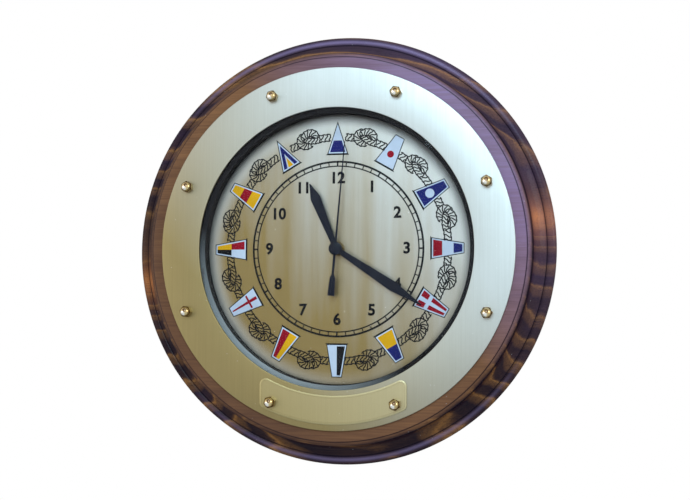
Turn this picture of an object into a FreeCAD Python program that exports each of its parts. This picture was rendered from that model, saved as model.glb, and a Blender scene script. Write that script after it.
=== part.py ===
import FreeCAD, Part
import math
import os
import re

import Sketcher

# Round wall clock with a turned wooden case, a bolted brass bezel and a battery movement.
# The origin is on the axis of the hands, in the plane of the wall. +Z points to twelve
# o'clock and +Y into the wall. Each piece is drawn in the clock's own front view, where
# x runs right, y runs up and heights are measured from the wall towards the reader.

SIZES = {
    # Well that holds the dial, and the mouldings of the case outwards from it
    "well_radius": 109.0,
    "glass_seat_width": 7.0,
    "bezel_reveal": 3.85,
    "bezel_width": 32.15,
    "bezel_thickness": 2.0,
    "face_margin": 8.6,
    "face_step": 0.9,
    "ovolo_radius": 3.8,
    "ovolo_flats": 3,
    "cove_radius": 17.0,
    "cove_top_angle": 172.0,
    "cove_foot_angle": 244.0,
    "cove_flats": 4,
    "bead_radius": 4.6,
    "bead_inset": 2.9,
    "bead_center_height": 9.5,
    "bead_flats": 4,
    # Back of the case
    "recess_radius": 46.0,
    "web_thickness": 3.2,
    "web_hole_play": 0.4,
    "wall_gap": 1.6,
    # Acorn bolts of the bezel
    "bolt_count": 8,
    "bolt_inset": 20.15,
    "bolt_radius": 2.45,
    "bolt_depth": 18.0,
    "bolt_hole_play": 0.3,
    "bolt_flats": 8.4,
    "bolt_hex_height": 4.2,
    "bolt_dome_radius": 3.8,
    "bolt_dome_flats": 3,
    # Nameplate
    "plate_end_margin": 9.1,
    "plate_thickness": 0.8,
    "plate_inner_margin": 4.15,
    "plate_outer_margin": 5.0,
    "plate_corner_radius": 5.0,
    # Glass and dial
    "glass_thickness": 3.0,
    "glass_play": 0.3,
    "dial_thickness": 1.0,
    "dial_play": 0.3,
    "dial_hole_play": 0.2,
    # Keyhole hanger plate and its screws
    "hanger_inset": 28.6,
    "hanger_center_rise": 4.0,
    "hanger_half_length": 26.0,
    "hanger_half_width": 11.0,
    "hanger_thickness": 1.6,
    "hanger_set_in": 0.2,
    "hanger_play": 0.2,
    "keyhole_radius": 4.6,
    "keyhole_slot_radius": 2.3,
    "keyhole_rise": 9.0,
    "screw_head_pocket_margin": 0.8,
    "screw_head_pocket_depth": 6.5,
    "hanger_screw_spacing": 40.0,
    "hanger_screw_head_radius": 2.9,
    "hanger_screw_radius": 1.25,
    "hanger_screw_length": 13.0,
    "hanger_screw_play": 0.05,
    # Movement case
    "spring_room": 1.35,
    "case_corner_radius": 3.0,
    "side_wall": 1.4,
    "front_wall": 1.4,
    "bay_floor": 11.5,
    "battery_diameter": 14.5,
    "battery_length": 50.5,
    "battery_nub_radius": 2.7,
    "battery_nub_length": 1.2,
    "battery_play": 0.1,
    "battery_set_in": 0.4,
    "contact_thickness": 0.3,
    "contact_height": 6.0,
    "contact_bend": 4.0,
    "contact_play": 0.1,
    # Bushing, washers and nut
    "bushing_radius": 3.9,
    "bushing_play": 0.05,
    "bushing_flange_radius": 5.5,
    "bushing_flange_thickness": 0.5,
    "bushing_proud": 0.8,
    "rubber_radius": 9.0,
    "rubber_thickness": 0.5,
    "washer_radius": 6.2,
    "washer_thickness": 0.5,
    "washer_play": 0.15,
    "hex_nut_flats": 10.5,
    "hex_nut_thickness": 2.0,
    # Motion work: layers, tooth counts, tooth sizes and directions
    "wheel_thickness": 1.0,
    "layer_play": 0.1,
    "layer_gap": 0.8,
    "leaf_overlap": 0.2,
    "room_play": 0.6,
    "room_depth_play": 0.5,
    "cannon_leaves": 12,
    "motion_teeth": 36,
    "motion_leaves": 10,
    "hour_teeth": 40,
    "setting_leaves": 15,
    "motion_module": 0.4,
    "motion_direction": -5.0,
    "setting_direction": 15.0,
    # Shares of a gear's module and of its tooth pitch
    "root_share": 1.1,
    "tip_share": 0.7,
    "leaf_tip_share": 0.5,
    "tooth_root_share": 0.22,
    "tooth_tip_share": 0.08,
    "leaf_root_share": 0.15,
    "leaf_end_share": 0.07,
    "tooth_foot_share": 0.5,
    # Arbors, pipes and the setting knob
    "running_play": 0.05,
    "arbor_radius": 0.7,
    "arbor_depth": 6.0,
    "arbor_proud": 1.4,
    "cannon_radius": 1.6,
    "cannon_bore_play": 0.1,
    "pipe_radius": 2.5,
    "motion_post_radius": 0.8,
    "setting_arbor_radius": 0.8,
    "knob_radius": 5.2,
    "knob_thickness": 1.4,
    "knob_socket_depth": 0.8,
    "knob_well_play": 0.8,
    "knob_well_depth": 1.8,
    "knob_notch_depth": 0.6,
    "knob_notch_count": 12,
    # Hands, from the axis
    "hand_gap": 1.0,
    "hand_thickness": 0.6,
    "hand_seat": 0.3,
    "hand_fit": 0.02,
    "hour_angle": -22.9,
    "hour_length": 57.0,
    "hour_broad_at": 44.5,
    "hour_broad_half": 4.3,
    "hour_root_half": 2.0,
    "hour_tip_half": 0.6,
    "hour_hub_radius": 5.0,
    "minute_angle": 122.9,
    "minute_length": 83.0,
    "minute_broad_at": 55.5,
    "minute_broad_half": 4.2,
    "minute_root_half": 2.0,
    "minute_tip_half": 0.6,
    "minute_hub_radius": 4.8,
    "second_angle": 5.0,
    "second_length": 86.3,
    "second_root_half": 0.9,
    "second_tip_half": 0.35,
    "second_hub_radius": 5.3,
    "second_hub_gap": 0.4,
    "second_collar_height": 0.6,
    "second_collar_radius": 1.5,
    "second_disc_thickness": 0.8,
    "second_needle_thickness": 0.4,
    "second_cap_height": 0.6,
    "second_cap_bevel": 1.8,
    "cap_clearance": 0.8,
    "tail_length": 38.0,
    "tail_neck_half": 1.0,
    "tail_flare_at": 21.0,
    "tail_flare_half": 2.3,
    "tail_end_half": 2.9,
    # Overrun of the cuts
    "overrun": 1.0,
}

doc = FreeCAD.newDocument("wall_clock")
sheet = doc.addObject("Spreadsheet::Sheet", "Sizes")
for row, (name, number) in enumerate(SIZES.items(), start=1):
    sheet.set(f"A{row}", name)
    sheet.set(f"B{row}", str(number))
    sheet.setAlias(f"B{row}", name)
doc.recompute()


def tied(text):
    """The same sum with every size named as a cell of the sheet."""
    return re.sub(r"[A-Za-z_]\w*", lambda word: f"Sizes.{word[0]}" if word[0] in SIZES else word[0], text)


def value(text):
    """What a sum of named sizes comes to."""
    return float(sheet.evalExpression(tied(text)))


def arc_points(center, radius, first, last, flats):
    """Points on an arc that is drawn as a number of equal flats, from one angle to another."""
    steps = round(value(flats))
    shares = [step / steps for step in range(steps + 1)]
    angles = [f"({first} + {share} * (({last}) - ({first})))" for share in shares]
    return [(f"({center[0]} + {radius} * cos({angle}))", f"({center[1]} + {radius} * sin({angle}))")
            for angle in angles]


# Heights from the wall, each built on the one before

movement_back = "(wall_gap)"
inner_face = "(wall_gap + battery_set_in + battery_diameter + battery_play)"
movement_front = f"({inner_face} + front_wall)"
recess_floor = f"({movement_front} + rubber_thickness)"
dial_back = f"({recess_floor} + web_thickness)"
dial_front = f"({dial_back} + dial_thickness)"
washer_top = f"({dial_front} + washer_thickness)"
nut_top = f"({washer_top} + hex_nut_thickness)"
bushing_end = f"({nut_top} + bushing_proud)"
hour_hand_low = f"({bushing_end} + hand_gap)"
pipe_end = f"({hour_hand_low} + hand_thickness + hand_seat)"
minute_hand_low = f"({pipe_end} + hand_gap)"
cannon_end = f"({minute_hand_low} + hand_thickness + hand_seat)"
arbor_end = f"({cannon_end} + arbor_proud)"
second_collar_low = f"({cannon_end} + second_hub_gap)"
second_disc_low = f"({second_collar_low} + second_collar_height)"
second_disc_top = f"({second_disc_low} + second_disc_thickness)"
second_cap_top = f"({second_disc_top} + second_cap_height)"
glass_back = f"({second_cap_top} + cap_clearance)"
case_face = f"({glass_back} + glass_thickness)"
bezel_front = f"({case_face} + bezel_thickness)"
plate_front = f"({bezel_front} + plate_thickness)"

# Layers of the motion work, from the dial side towards the wall

hour_wheel_top = f"({inner_face} - bushing_flange_thickness - layer_play)"
hour_wheel_low = f"({hour_wheel_top} - wheel_thickness)"
motion_wheel_top = f"({hour_wheel_low} - layer_gap)"
motion_wheel_low = f"({motion_wheel_top} - wheel_thickness)"
leaf_low = f"({motion_wheel_low} - leaf_overlap)"
leaf_top = f"({motion_wheel_top} + leaf_overlap)"
room_floor = f"({motion_wheel_low} - room_depth_play)"
knob_top = f"({movement_back} + knob_well_depth - layer_play)"
knob_low = f"({knob_top} - knob_thickness)"

# Radii and corners of the case, outwards from the well

glass_seat_radius = "(well_radius + glass_seat_width)"
bezel_inner = "(well_radius + bezel_reveal)"
bezel_outer = f"({bezel_inner} + bezel_width)"
bolt_circle = f"({bezel_inner} + bolt_inset)"
face_radius = f"({bezel_outer} + face_margin)"
ovolo_center = (face_radius, f"({case_face} - face_step - ovolo_radius)")
cove_center = (
    f"({face_radius} + ovolo_radius - cove_radius * cos(cove_top_angle * 1deg))",
    f"({ovolo_center[1]} - cove_radius * sin(cove_top_angle * 1deg))",
)
bead_center = (
    f"({cove_center[0]} + cove_radius * cos(cove_foot_angle * 1deg) + bead_inset)",
    "bead_center_height",
)
web_hole_radius = "(bushing_radius + web_hole_play)"
plate_half_width = f"({bolt_circle} * sin(180deg / bolt_count) + plate_end_margin)"
hanger_height = f"({face_radius} - hanger_inset)"
hanger_center = f"({hanger_height} + hanger_center_rise)"
case_side = "(battery_length + 2 * (spring_room + side_wall))"

# Places of the arbors in the front view

hour_module = "(motion_module * (cannon_leaves + motion_teeth) / (motion_leaves + hour_teeth))"
motion_reach = "(motion_module * (cannon_leaves + motion_teeth) / 2)"
setting_reach = "(motion_module * (motion_teeth + setting_leaves) / 2)"


def beside(start, reach, direction):
    """The place that lies a reach away from another, in a direction measured anticlockwise from +x."""
    x, y = start
    return (
        f"({x} + {reach} * cos({direction} * 1deg))",
        f"({y} + {reach} * sin({direction} * 1deg))",
    )


CENTER = ("0", "0")
MOTION = beside(CENTER, motion_reach, "motion_direction")
SETTING = beside(MOTION, setting_reach, "setting_direction")


# Tools for drawing

def origin_plane(body, role):
    """One of a body's own origin planes."""
    return next(part for part in body.Origin.OriginFeatures if part.Role == role)


def new_body(label, place=CENTER):
    """An empty body that stands on the wall, with its own axis at a place of the front view."""
    body = doc.addObject("PartDesign::Body", label)
    body.Label = label
    body.Placement = FreeCAD.Placement(FreeCAD.Vector(), FreeCAD.Rotation(FreeCAD.Vector(1, 0, 0), 90))
    body.setExpression(".Placement.Base.x", tied(place[0]))
    body.setExpression(".Placement.Base.z", tied(place[1]))
    return body


def new_sketch(body, role="XY_Plane", height="0", turn="0"):
    """A sketch at a height above one of the body's planes, turned anticlockwise in it."""
    sketch = body.newObject("Sketcher::SketchObject", "Sketch")
    sketch.AttachmentSupport = [(origin_plane(body, role), "")]
    sketch.MapMode = "FlatFace"
    sketch.setExpression(".AttachmentOffset.Base.z", tied(height))
    sketch.setExpression(".AttachmentOffset.Rotation.Angle", tied(turn))
    return sketch


def bind(sketch, kind, numbers, text):
    """Adds one constraint whose value is a sum of named sizes."""
    index = sketch.addConstraint(Sketcher.Constraint(kind, *numbers, value(text)))
    sketch.setExpression(f"Constraints[{index}]", tied(text))


def circle(sketch, radius, place=CENTER):
    """A circle at a place of the sketch."""
    x, y = place
    center = FreeCAD.Vector(value(x), value(y), 0)
    ring = sketch.addGeometry(Part.Circle(center, FreeCAD.Vector(0, 0, 1), value(radius)), False)
    bind(sketch, "Radius", (ring,), radius)
    bind(sketch, "DistanceX", (-1, 1, ring, 3), x)
    bind(sketch, "DistanceY", (-1, 1, ring, 3), y)


def outline(sketch, points):
    """Closes a loop through the points.

    A point is (x, y) where a straight edge reaches it, and (x, y, radius, side) where an arc
    does, with the arc's centre on that side of the way to it.
    """
    spots = [FreeCAD.Vector(value(point[0]), value(point[1]), 0) for point in points]
    ends = []
    for index, point in enumerate(points):
        start, end = spots[index - 1], spots[index]
        if len(point) == 2:
            edge = sketch.addGeometry(Part.LineSegment(start, end), False)
            ends.append((edge, 1, 2))
            continue
        radius = value(point[2])
        chord = end - start
        across = FreeCAD.Vector(-chord.y, chord.x, 0).normalize()
        away = math.sqrt(max(radius ** 2 - chord.Length ** 2 / 4, 0))
        center = (start + end) / 2 + across * (away if point[3] == "left" else -away)
        first, last = (start, end) if point[3] == "left" else (end, start)
        angles = [math.atan2(spot.y - center.y, spot.x - center.x) for spot in (first, last)]
        arc = Part.ArcOfCircle(Part.Circle(center, FreeCAD.Vector(0, 0, 1), radius), *angles)
        edge = sketch.addGeometry(arc, False)
        ends.append((edge, 1, 2) if point[3] == "left" else (edge, 2, 1))
    for index, (edge, first, last) in enumerate(ends):
        following, begins, _ = ends[(index + 1) % len(ends)]
        sketch.addConstraint(Sketcher.Constraint("Coincident", edge, last, following, begins))
    for (edge, _, last), point in zip(ends, points):
        bind(sketch, "DistanceX", (-1, 1, edge, last), point[0])
        bind(sketch, "DistanceY", (-1, 1, edge, last), point[1])
        if len(point) == 4:
            bind(sketch, "Radius", (edge,), point[2])


def rectangle(sketch, left, right, low, high):
    """An upright rectangle between two sides and two heights."""
    outline(sketch, [(left, low), (right, low), (right, high), (left, high)])


def hexagon(sketch, flats):
    """A hexagon about the axis, by the distance between its flats."""
    corner = f"({flats} / 2 / cos(30deg))"
    outline(sketch, [(f"{corner} * cos({side}deg)", f"{corner} * sin({side}deg)") for side in range(0, 360, 60)])


def feature(body, kind, sketch, **sizes):
    """A pad, pocket, revolution or groove, with its sizes tied to the sheet."""
    made = body.newObject(f"PartDesign::{kind}", kind)
    made.Profile = sketch
    for prop, text in sizes.items():
        made.setExpression(prop, tied(text))
    sketch.Visibility = False
    body.Tip = made
    return made


def pad(body, sketch, length):
    """Raises the sketch towards the reader."""
    return feature(body, "Pad", sketch, Length=length)


def cut(body, sketch, length):
    """Cuts from the sketch towards the reader."""
    made = feature(body, "Pocket", sketch, Length=length)
    made.Reversed = True
    return made


def turned(body, points, kind="Revolution", plane="XZ_Plane", axis="V_Axis"):
    """Turns a section of (radius, height) points about the body's axis."""
    sketch = new_sketch(body, plane)
    outline(sketch, points)
    made = feature(body, kind, sketch)
    made.ReferenceAxis = (sketch, [axis])
    made.Angle = 360
    return made


def around(body, original, sketch, count):
    """Repeats a feature all round the axis."""
    ring = body.newObject("PartDesign::PolarPattern", "PolarPattern")
    ring.Originals = [original]
    ring.Axis = (sketch, ["N_Axis"])
    ring.Angle = 360
    ring.setExpression("Occurrences", tied(count))
    body.Tip = ring
    return ring


def round_corners(body, made, radius):
    """Rounds the edges of a feature that run along the axis."""
    doc.recompute()
    names = [
        f"Edge{number}"
        for number, edge in enumerate(made.Shape.Edges, start=1)
        if edge.Curve.TypeId == "Part::GeomLine" and abs(edge.tangentAt(edge.FirstParameter).z) > 0.99
    ]
    rounded = body.newObject("PartDesign::Fillet", "Fillet")
    rounded.Base = (made, names)
    rounded.setExpression("Radius", tied(radius))
    body.Tip = rounded
    return rounded


def tube(body, inner, outer, low, high):
    """A plain ring."""
    return turned(body, [(inner, low), (outer, low), (outer, high), (inner, high)])


def rod(body, radius, low, high):
    """A plain round bar on the axis."""
    return turned(body, [("0", low), (radius, low), (radius, high), ("0", high)])


def bore(body, radius, low, high, place=CENTER):
    """A round hole between two heights."""
    sketch = new_sketch(body, height=low)
    circle(sketch, radius, place)
    return cut(body, sketch, f"{high} - {low}")


def gear(body, count, module, low, high, first, leaves=False):
    """A gear with straight flanks and flat roots. Its first tooth points in the direction given."""
    tip, root_width, end_width = "tip_share", "tooth_root_share", "tooth_tip_share"
    if leaves:
        tip, root_width, end_width = "leaf_tip_share", "leaf_root_share", "leaf_end_share"
    pitch = f"({module} * {math.pi})"
    root = f"({module} * ({count} / 2 - root_share))"
    foot = f"({module} * ({count} / 2 - root_share - tooth_foot_share))"
    point = f"({module} * ({count} / 2 + {tip}))"
    teeth = round(value(count))
    corner = f"({root} / cos(180deg / {teeth}))"
    blank = new_sketch(body, height=low, turn=first)
    outline(blank, [(f"{corner} * cos(360deg * {tooth} / {teeth})", f"{corner} * sin(360deg * {tooth} / {teeth})")
                    for tooth in range(teeth)])
    pad(body, blank, f"{high} - {low}")
    sketch = new_sketch(body, height=low, turn=first)
    outline(
        sketch,
        [
            (foot, f"-{pitch} * {root_width}"),
            (point, f"-{pitch} * {end_width}"),
            (point, f"{pitch} * {end_width}"),
            (foot, f"{pitch} * {root_width}"),
        ],
    )
    return around(body, pad(body, sketch, f"{high} - {low}"), sketch, count)


def gap_first(direction, leaves):
    """Direction of a pinion's first leaf, where a gap faces its mate."""
    return f"({direction} + 180 / {leaves})"


def copies(label, single, places):
    """One node that holds a copy of a piece at each place."""
    doc.recompute()
    shapes = []
    for x, y, height in places:
        shape = single.Shape.copy()
        shape.translate(FreeCAD.Vector(value(x), -value(height), value(y)))
        shapes.append(shape)
    group = doc.addObject("Part::Feature", label)
    group.Shape = Part.makeCompound(shapes)
    group.Label = label
    group.Placement = FreeCAD.Placement()
    return group


# The case and what is bolted to it

def wood_case():
    """Turned case: bead, cove and ovolo outside, dial well and glass seat in front, recess behind.

    The curves of the moulding are drawn as a few flats each, with their corners on the true arc.
    """
    body = new_body("wood_case")
    shoulder = "acos(-bead_inset / bead_radius)"
    bead = arc_points(bead_center, "bead_radius", "-90deg", shoulder, "bead_flats")
    cove = arc_points(cove_center, "cove_radius", "cove_foot_angle * 1deg", "cove_top_angle * 1deg", "cove_flats")
    ovolo = arc_points(ovolo_center, "ovolo_radius", "0deg", "90deg", "ovolo_flats")
    turned(
        body,
        [
            ("recess_radius", "0"),
            (bead_center[0], "0"),
            *bead,
            *cove,
            *ovolo[1:],
            (face_radius, case_face),
            (glass_seat_radius, case_face),
            (glass_seat_radius, glass_back),
            ("well_radius", glass_back),
            ("well_radius", dial_back),
            (web_hole_radius, dial_back),
            (web_hole_radius, recess_floor),
            ("recess_radius", recess_floor),
        ],
    )
    seat = new_sketch(body)
    rectangle(
        seat,
        "-hanger_half_length - hanger_play",
        "hanger_half_length + hanger_play",
        f"{hanger_center} - hanger_half_width - hanger_play",
        f"{hanger_center} + hanger_half_width + hanger_play",
    )
    cut(body, seat, "hanger_set_in + hanger_thickness")
    pocket = new_sketch(body, height="hanger_set_in + hanger_thickness")
    slot(pocket, "keyhole_radius + screw_head_pocket_margin", hanger_height, f"{hanger_height} + keyhole_rise")
    cut(body, pocket, "screw_head_pocket_depth")
    return body


def slot(sketch, radius, low, high):
    """An upright slot with round ends."""
    outline(
        sketch,
        [
            (radius, high),
            ("0", f"{high} + {radius}", radius, "left"),
            (f"-({radius})", high, radius, "left"),
            (f"-({radius})", low),
            ("0", f"{low} - ({radius})", radius, "left"),
            (radius, low, radius, "left"),
        ],
    )


def bezel_ring():
    """Flat brass ring with its bolt holes."""
    body = new_body("bezel_ring")
    tube(body, bezel_inner, bezel_outer, case_face, bezel_front)
    drill = new_sketch(body, height=case_face, turn="180 / bolt_count")
    circle(drill, "bolt_radius + bolt_hole_play", (bolt_circle, "0"))
    around(body, cut(body, drill, "bezel_thickness + overrun"), drill, "bolt_count")
    return body


def nameplate():
    """Thin bare plate under the two lowest bolts, curved with the ring."""
    body = new_body("nameplate")
    inner = f"({bezel_inner} + plate_inner_margin)"
    outer = f"({bezel_outer} - plate_outer_margin)"
    top = f"-sqrt({inner} ^ 2 - {plate_half_width} ^ 2)"
    foot = f"-sqrt({outer} ^ 2 - {plate_half_width} ^ 2)"
    sketch = new_sketch(body, height=bezel_front)
    outline(
        sketch,
        [
            (f"-{plate_half_width}", foot),
            (plate_half_width, foot, outer, "left"),
            (plate_half_width, top),
            (f"-{plate_half_width}", top, inner, "right"),
        ],
    )
    blank = pad(body, sketch, "plate_thickness")
    round_corners(body, blank, "plate_corner_radius")
    drill = new_sketch(body, height=bezel_front)
    angle = "(180deg / bolt_count)"
    for side in ("-", ""):
        place = (f"{side}{bolt_circle} * sin({angle})", f"-{bolt_circle} * cos({angle})")
        circle(drill, "bolt_radius + bolt_hole_play", place)
    cut(body, drill, "plate_thickness + overrun")
    return body


def acorn_bolts():
    """Bolts with hexagon and dome in one piece, screwed into the case. The lowest two hold the nameplate."""
    body = new_body("one_acorn_bolt")
    base = new_sketch(body)
    hexagon(base, "bolt_flats")
    pad(body, base, "bolt_hex_height")
    dome = arc_points(("0", "bolt_hex_height"), "bolt_dome_radius", "0deg", "90deg", "bolt_dome_flats")
    turned(body, [("0", "bolt_hex_height"), *dome])
    rod(body, "bolt_radius", "-bolt_depth - bezel_thickness", "0")
    count = round(value("bolt_count"))
    places = []
    for number in range(count):
        angle = f"(180deg * (2 * {number} + 1) / {count})"
        across = f"{bolt_circle} * cos({angle})"
        up = f"{bolt_circle} * sin({angle})"
        on_plate = abs(value(across)) < value(plate_half_width) and value(up) < 0
        places.append((across, up, plate_front if on_plate else bezel_front))
    return copies("acorn_bolts", body, places)


def glass():
    """Flat glass that lies in its seat under the bezel."""
    disc = doc.addObject("Part::Cylinder", "glass")
    disc.setExpression("Radius", tied(f"{glass_seat_radius} - glass_play"))
    disc.setExpression("Height", tied("glass_thickness"))
    disc.Placement = FreeCAD.Placement(FreeCAD.Vector(), FreeCAD.Rotation(FreeCAD.Vector(1, 0, 0), 90))
    disc.setExpression(".Placement.Base.y", tied(f"-{glass_back}"))
    return disc


def dial_plate():
    """Brass dial on the floor of the well."""
    body = new_body("dial_plate")
    tube(body, "bushing_radius + dial_hole_play", "well_radius - dial_play", dial_back, dial_front)
    return body


def hanger_plate():
    """Steel plate let into the back, with a keyhole for the head of a wall screw."""
    body = new_body("hanger_plate")
    blank = new_sketch(body, height="hanger_set_in")
    rectangle(
        blank,
        "-hanger_half_length",
        "hanger_half_length",
        f"{hanger_center} - hanger_half_width",
        f"{hanger_center} + hanger_half_width",
    )
    pad(body, blank, "hanger_thickness")
    through = "hanger_set_in + hanger_thickness + overrun"
    bore(body, "keyhole_radius", "hanger_set_in", through, ("0", hanger_height))
    neck = new_sketch(body, height="hanger_set_in")
    slot(neck, "keyhole_slot_radius", hanger_height, f"{hanger_height} + keyhole_rise")
    cut(body, neck, "hanger_thickness + overrun")
    for side in ("-", ""):
        sink = new_sketch(body, "XZ_Plane", height=f"-{hanger_center}")
        place = f"{side}hanger_screw_spacing / 2"
        outline(
            sink,
            [
                (place, "hanger_set_in"),
                (f"{place} + hanger_screw_head_radius + hanger_screw_play", "hanger_set_in"),
                (f"{place} + hanger_screw_radius + hanger_screw_play", "hanger_set_in + hanger_thickness"),
                (place, "hanger_set_in + hanger_thickness"),
            ],
        )
        sunk = feature(body, "Groove", sink)
        sunk.ReferenceAxis = (sink, ["Edge1"])
        sunk.Angle = 360
    return body


def hanger_screws():
    """Two countersunk wood screws of the hanger plate."""
    body = new_body("one_hanger_screw")
    shank = "hanger_screw_radius"
    end = "hanger_screw_length"
    turned(body, [("0", "0"), ("hanger_screw_head_radius", "0"), (shank, "hanger_thickness"), (shank, end), ("0", end)])
    places = [(f"{side}hanger_screw_spacing / 2", hanger_center, "hanger_set_in") for side in ("-", "")]
    return copies("hanger_screws", body, places)


# The movement's housing and what clamps it

def movement_case():
    """Moulded case: battery bay and knob well open to the wall, room for the motion work in front."""
    body = new_body("movement_case")
    block = new_sketch(body, height=movement_back)
    half = f"{case_side} / 2"
    rectangle(block, f"-{half}", half, f"-{half}", half)
    shell = pad(body, block, f"{inner_face} - {movement_back}")
    round_corners(body, shell, "case_corner_radius")
    inside = f"({case_side} / 2 - side_wall)"
    bay = new_sketch(body, height=movement_back)
    rectangle(bay, f"-{inside}", inside, f"-{inside}", "-bay_floor")
    cut(body, bay, f"{inner_face} - {movement_back}")
    room = new_sketch(body, height=room_floor)
    reach = f"({hour_module} * (hour_teeth / 2 + tip_share) + room_play)"
    right = f"{SETTING[0]} + motion_module * (setting_leaves / 2 + leaf_tip_share) + room_play"
    rectangle(room, f"-{reach}", right, f"-{reach}", reach)
    cut(body, room, f"{inner_face} - {room_floor} + overrun")
    post = new_sketch(body, height=room_floor)
    circle(post, "motion_post_radius", MOTION)
    pad(body, post, f"{hour_wheel_top} - {room_floor}")
    bore(body, "arbor_radius + running_play", f"({room_floor} - arbor_depth - layer_play)", f"({room_floor} + overrun)")
    bore(body, "knob_radius + knob_well_play", movement_back, f"({movement_back} + knob_well_depth)", SETTING)
    bore(body, "setting_arbor_radius + running_play", movement_back, f"({room_floor} + overrun)", SETTING)
    return body


def movement_face():
    """Front half of the movement's housing, a plain cover over the motion work."""
    body = new_body("movement_face")
    plate = new_sketch(body, height=inner_face)
    half = f"{case_side} / 2"
    rectangle(plate, f"-{half}", half, f"-{half}", half)
    blank = pad(body, plate, "front_wall")
    round_corners(body, blank, "case_corner_radius")
    bore(body, "bushing_radius + bushing_play", inner_face, f"({movement_front} + overrun)")
    return body


def threaded_bushing():
    """Brass bushing through cover, web and dial, with the hour pipe running inside it."""
    body = new_body("threaded_bushing")
    inside = "pipe_radius + running_play"
    turned(
        body,
        [
            (inside, f"{inner_face} - bushing_flange_thickness"),
            ("bushing_flange_radius", f"{inner_face} - bushing_flange_thickness"),
            ("bushing_flange_radius", inner_face),
            ("bushing_radius", inner_face),
            ("bushing_radius", bushing_end),
            (inside, bushing_end),
        ],
    )
    return body


def rubber_washer():
    """Rubber washer between the movement and the web of the case."""
    body = new_body("rubber_washer")
    tube(body, "bushing_radius + washer_play", "rubber_radius", movement_front, recess_floor)
    return body


def brass_washer():
    """Brass washer on the dial."""
    body = new_body("brass_washer")
    tube(body, "bushing_radius + washer_play", "washer_radius", dial_front, washer_top)
    return body


def hex_nut():
    """Thin brass nut that clamps dial, web and movement."""
    body = new_body("hex_nut")
    blank = new_sketch(body, height=washer_top)
    hexagon(blank, "hex_nut_flats")
    pad(body, blank, "hex_nut_thickness")
    bore(body, "bushing_radius + bushing_play", washer_top, f"({nut_top} + overrun)")
    return body


# Battery and contacts

battery_y = "(-bay_floor - battery_play - battery_diameter / 2)"
battery_z = f"({inner_face} - battery_play - battery_diameter / 2)"


def battery():
    """Round cell with its nub, lying across the bay."""
    body = new_body("battery", ("0", battery_y))
    sketch = new_sketch(body, "XZ_Plane")
    half, wide, nub = "(battery_length / 2)", "(battery_diameter / 2)", "battery_nub_radius"
    shoulder = f"({half} - battery_nub_length)"
    outline(
        sketch,
        [
            (f"-{half}", battery_z),
            (f"-{half}", f"{battery_z} + {wide}"),
            (shoulder, f"{battery_z} + {wide}"),
            (shoulder, f"{battery_z} + {nub}"),
            (half, f"{battery_z} + {nub}"),
            (half, battery_z),
        ],
    )
    cell = feature(body, "Revolution", sketch)
    cell.ReferenceAxis = (sketch, ["Edge1"])
    cell.Angle = 360
    return body


def contact(label, side):
    """Bent strip between one end of the battery and the side wall."""
    body = new_body(label)
    wall = f"({case_side} / 2 - side_wall - contact_play)"
    inner = f"({wall} - contact_thickness)"
    tip = "(battery_length / 2 + contact_play)"
    sketch = new_sketch(body, height=f"{battery_z} - contact_height / 2")
    foot = f"({battery_y} - battery_nub_radius)"
    top = "(-bay_floor - battery_play)"
    points = [(wall, foot), (wall, top), (inner, top), (inner, f"{foot} + contact_bend"), (tip, battery_y), (tip, foot)]
    outline(sketch, [(f"{side}{x}", y) for x, y in points])
    pad(body, sketch, "contact_height")
    return body


# Arbors and wheels

def seconds_arbor():
    """Long arbor of the second hand, down its bore in the movement case."""
    body = new_body("seconds_arbor")
    rod(body, "arbor_radius", f"({room_floor} - arbor_depth)", arbor_end)
    return body


def cannon_pinion():
    """Tube of the minute hand, with the pinion that drives the motion wheel."""
    body = new_body("cannon_pinion")
    low = f"({room_floor} + layer_play)"
    rod(body, "cannon_radius", low, cannon_end)
    gear(body, "cannon_leaves", "motion_module", leaf_low, leaf_top, gap_first("motion_direction", "cannon_leaves"),
         leaves=True)
    bore(body, "arbor_radius + cannon_bore_play", low, f"({cannon_end} + overrun)")
    return body


def motion_wheel():
    """Motion wheel and pinion on the post of the movement case."""
    body = new_body("motion_wheel", MOTION)
    facing = "(motion_direction + 180)"
    top = f"({hour_wheel_top} + leaf_overlap)"
    gear(body, "motion_teeth", "motion_module", motion_wheel_low, motion_wheel_top, facing)
    gear(body, "motion_leaves", hour_module, motion_wheel_top, top, gap_first(facing, "motion_leaves"), leaves=True)
    bore(body, "motion_post_radius + running_play", motion_wheel_low, f"({top} + overrun)")
    return body


def hour_wheel():
    """Hour wheel and the pipe that carries the hour hand."""
    body = new_body("hour_wheel")
    gear(body, "hour_teeth", hour_module, hour_wheel_low, hour_wheel_top, "motion_direction")
    rod(body, "pipe_radius", hour_wheel_low, pipe_end)
    bore(body, "cannon_radius + running_play", hour_wheel_low, f"({pipe_end} + overrun)")
    return body


def setting_wheel():
    """Setting arbor from the knob to its wheel, which turns the motion wheel."""
    body = new_body("setting_wheel", SETTING)
    rod(body, "setting_arbor_radius", f"({knob_top} - knob_socket_depth)", leaf_top)
    turn = "(motion_direction + 180 - setting_direction)"
    facing = f"(setting_direction + 180 - {turn} * motion_teeth / setting_leaves)"
    gear(body, "setting_leaves", "motion_module", leaf_low, leaf_top, gap_first(facing, "setting_leaves"), leaves=True)
    return body


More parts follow.
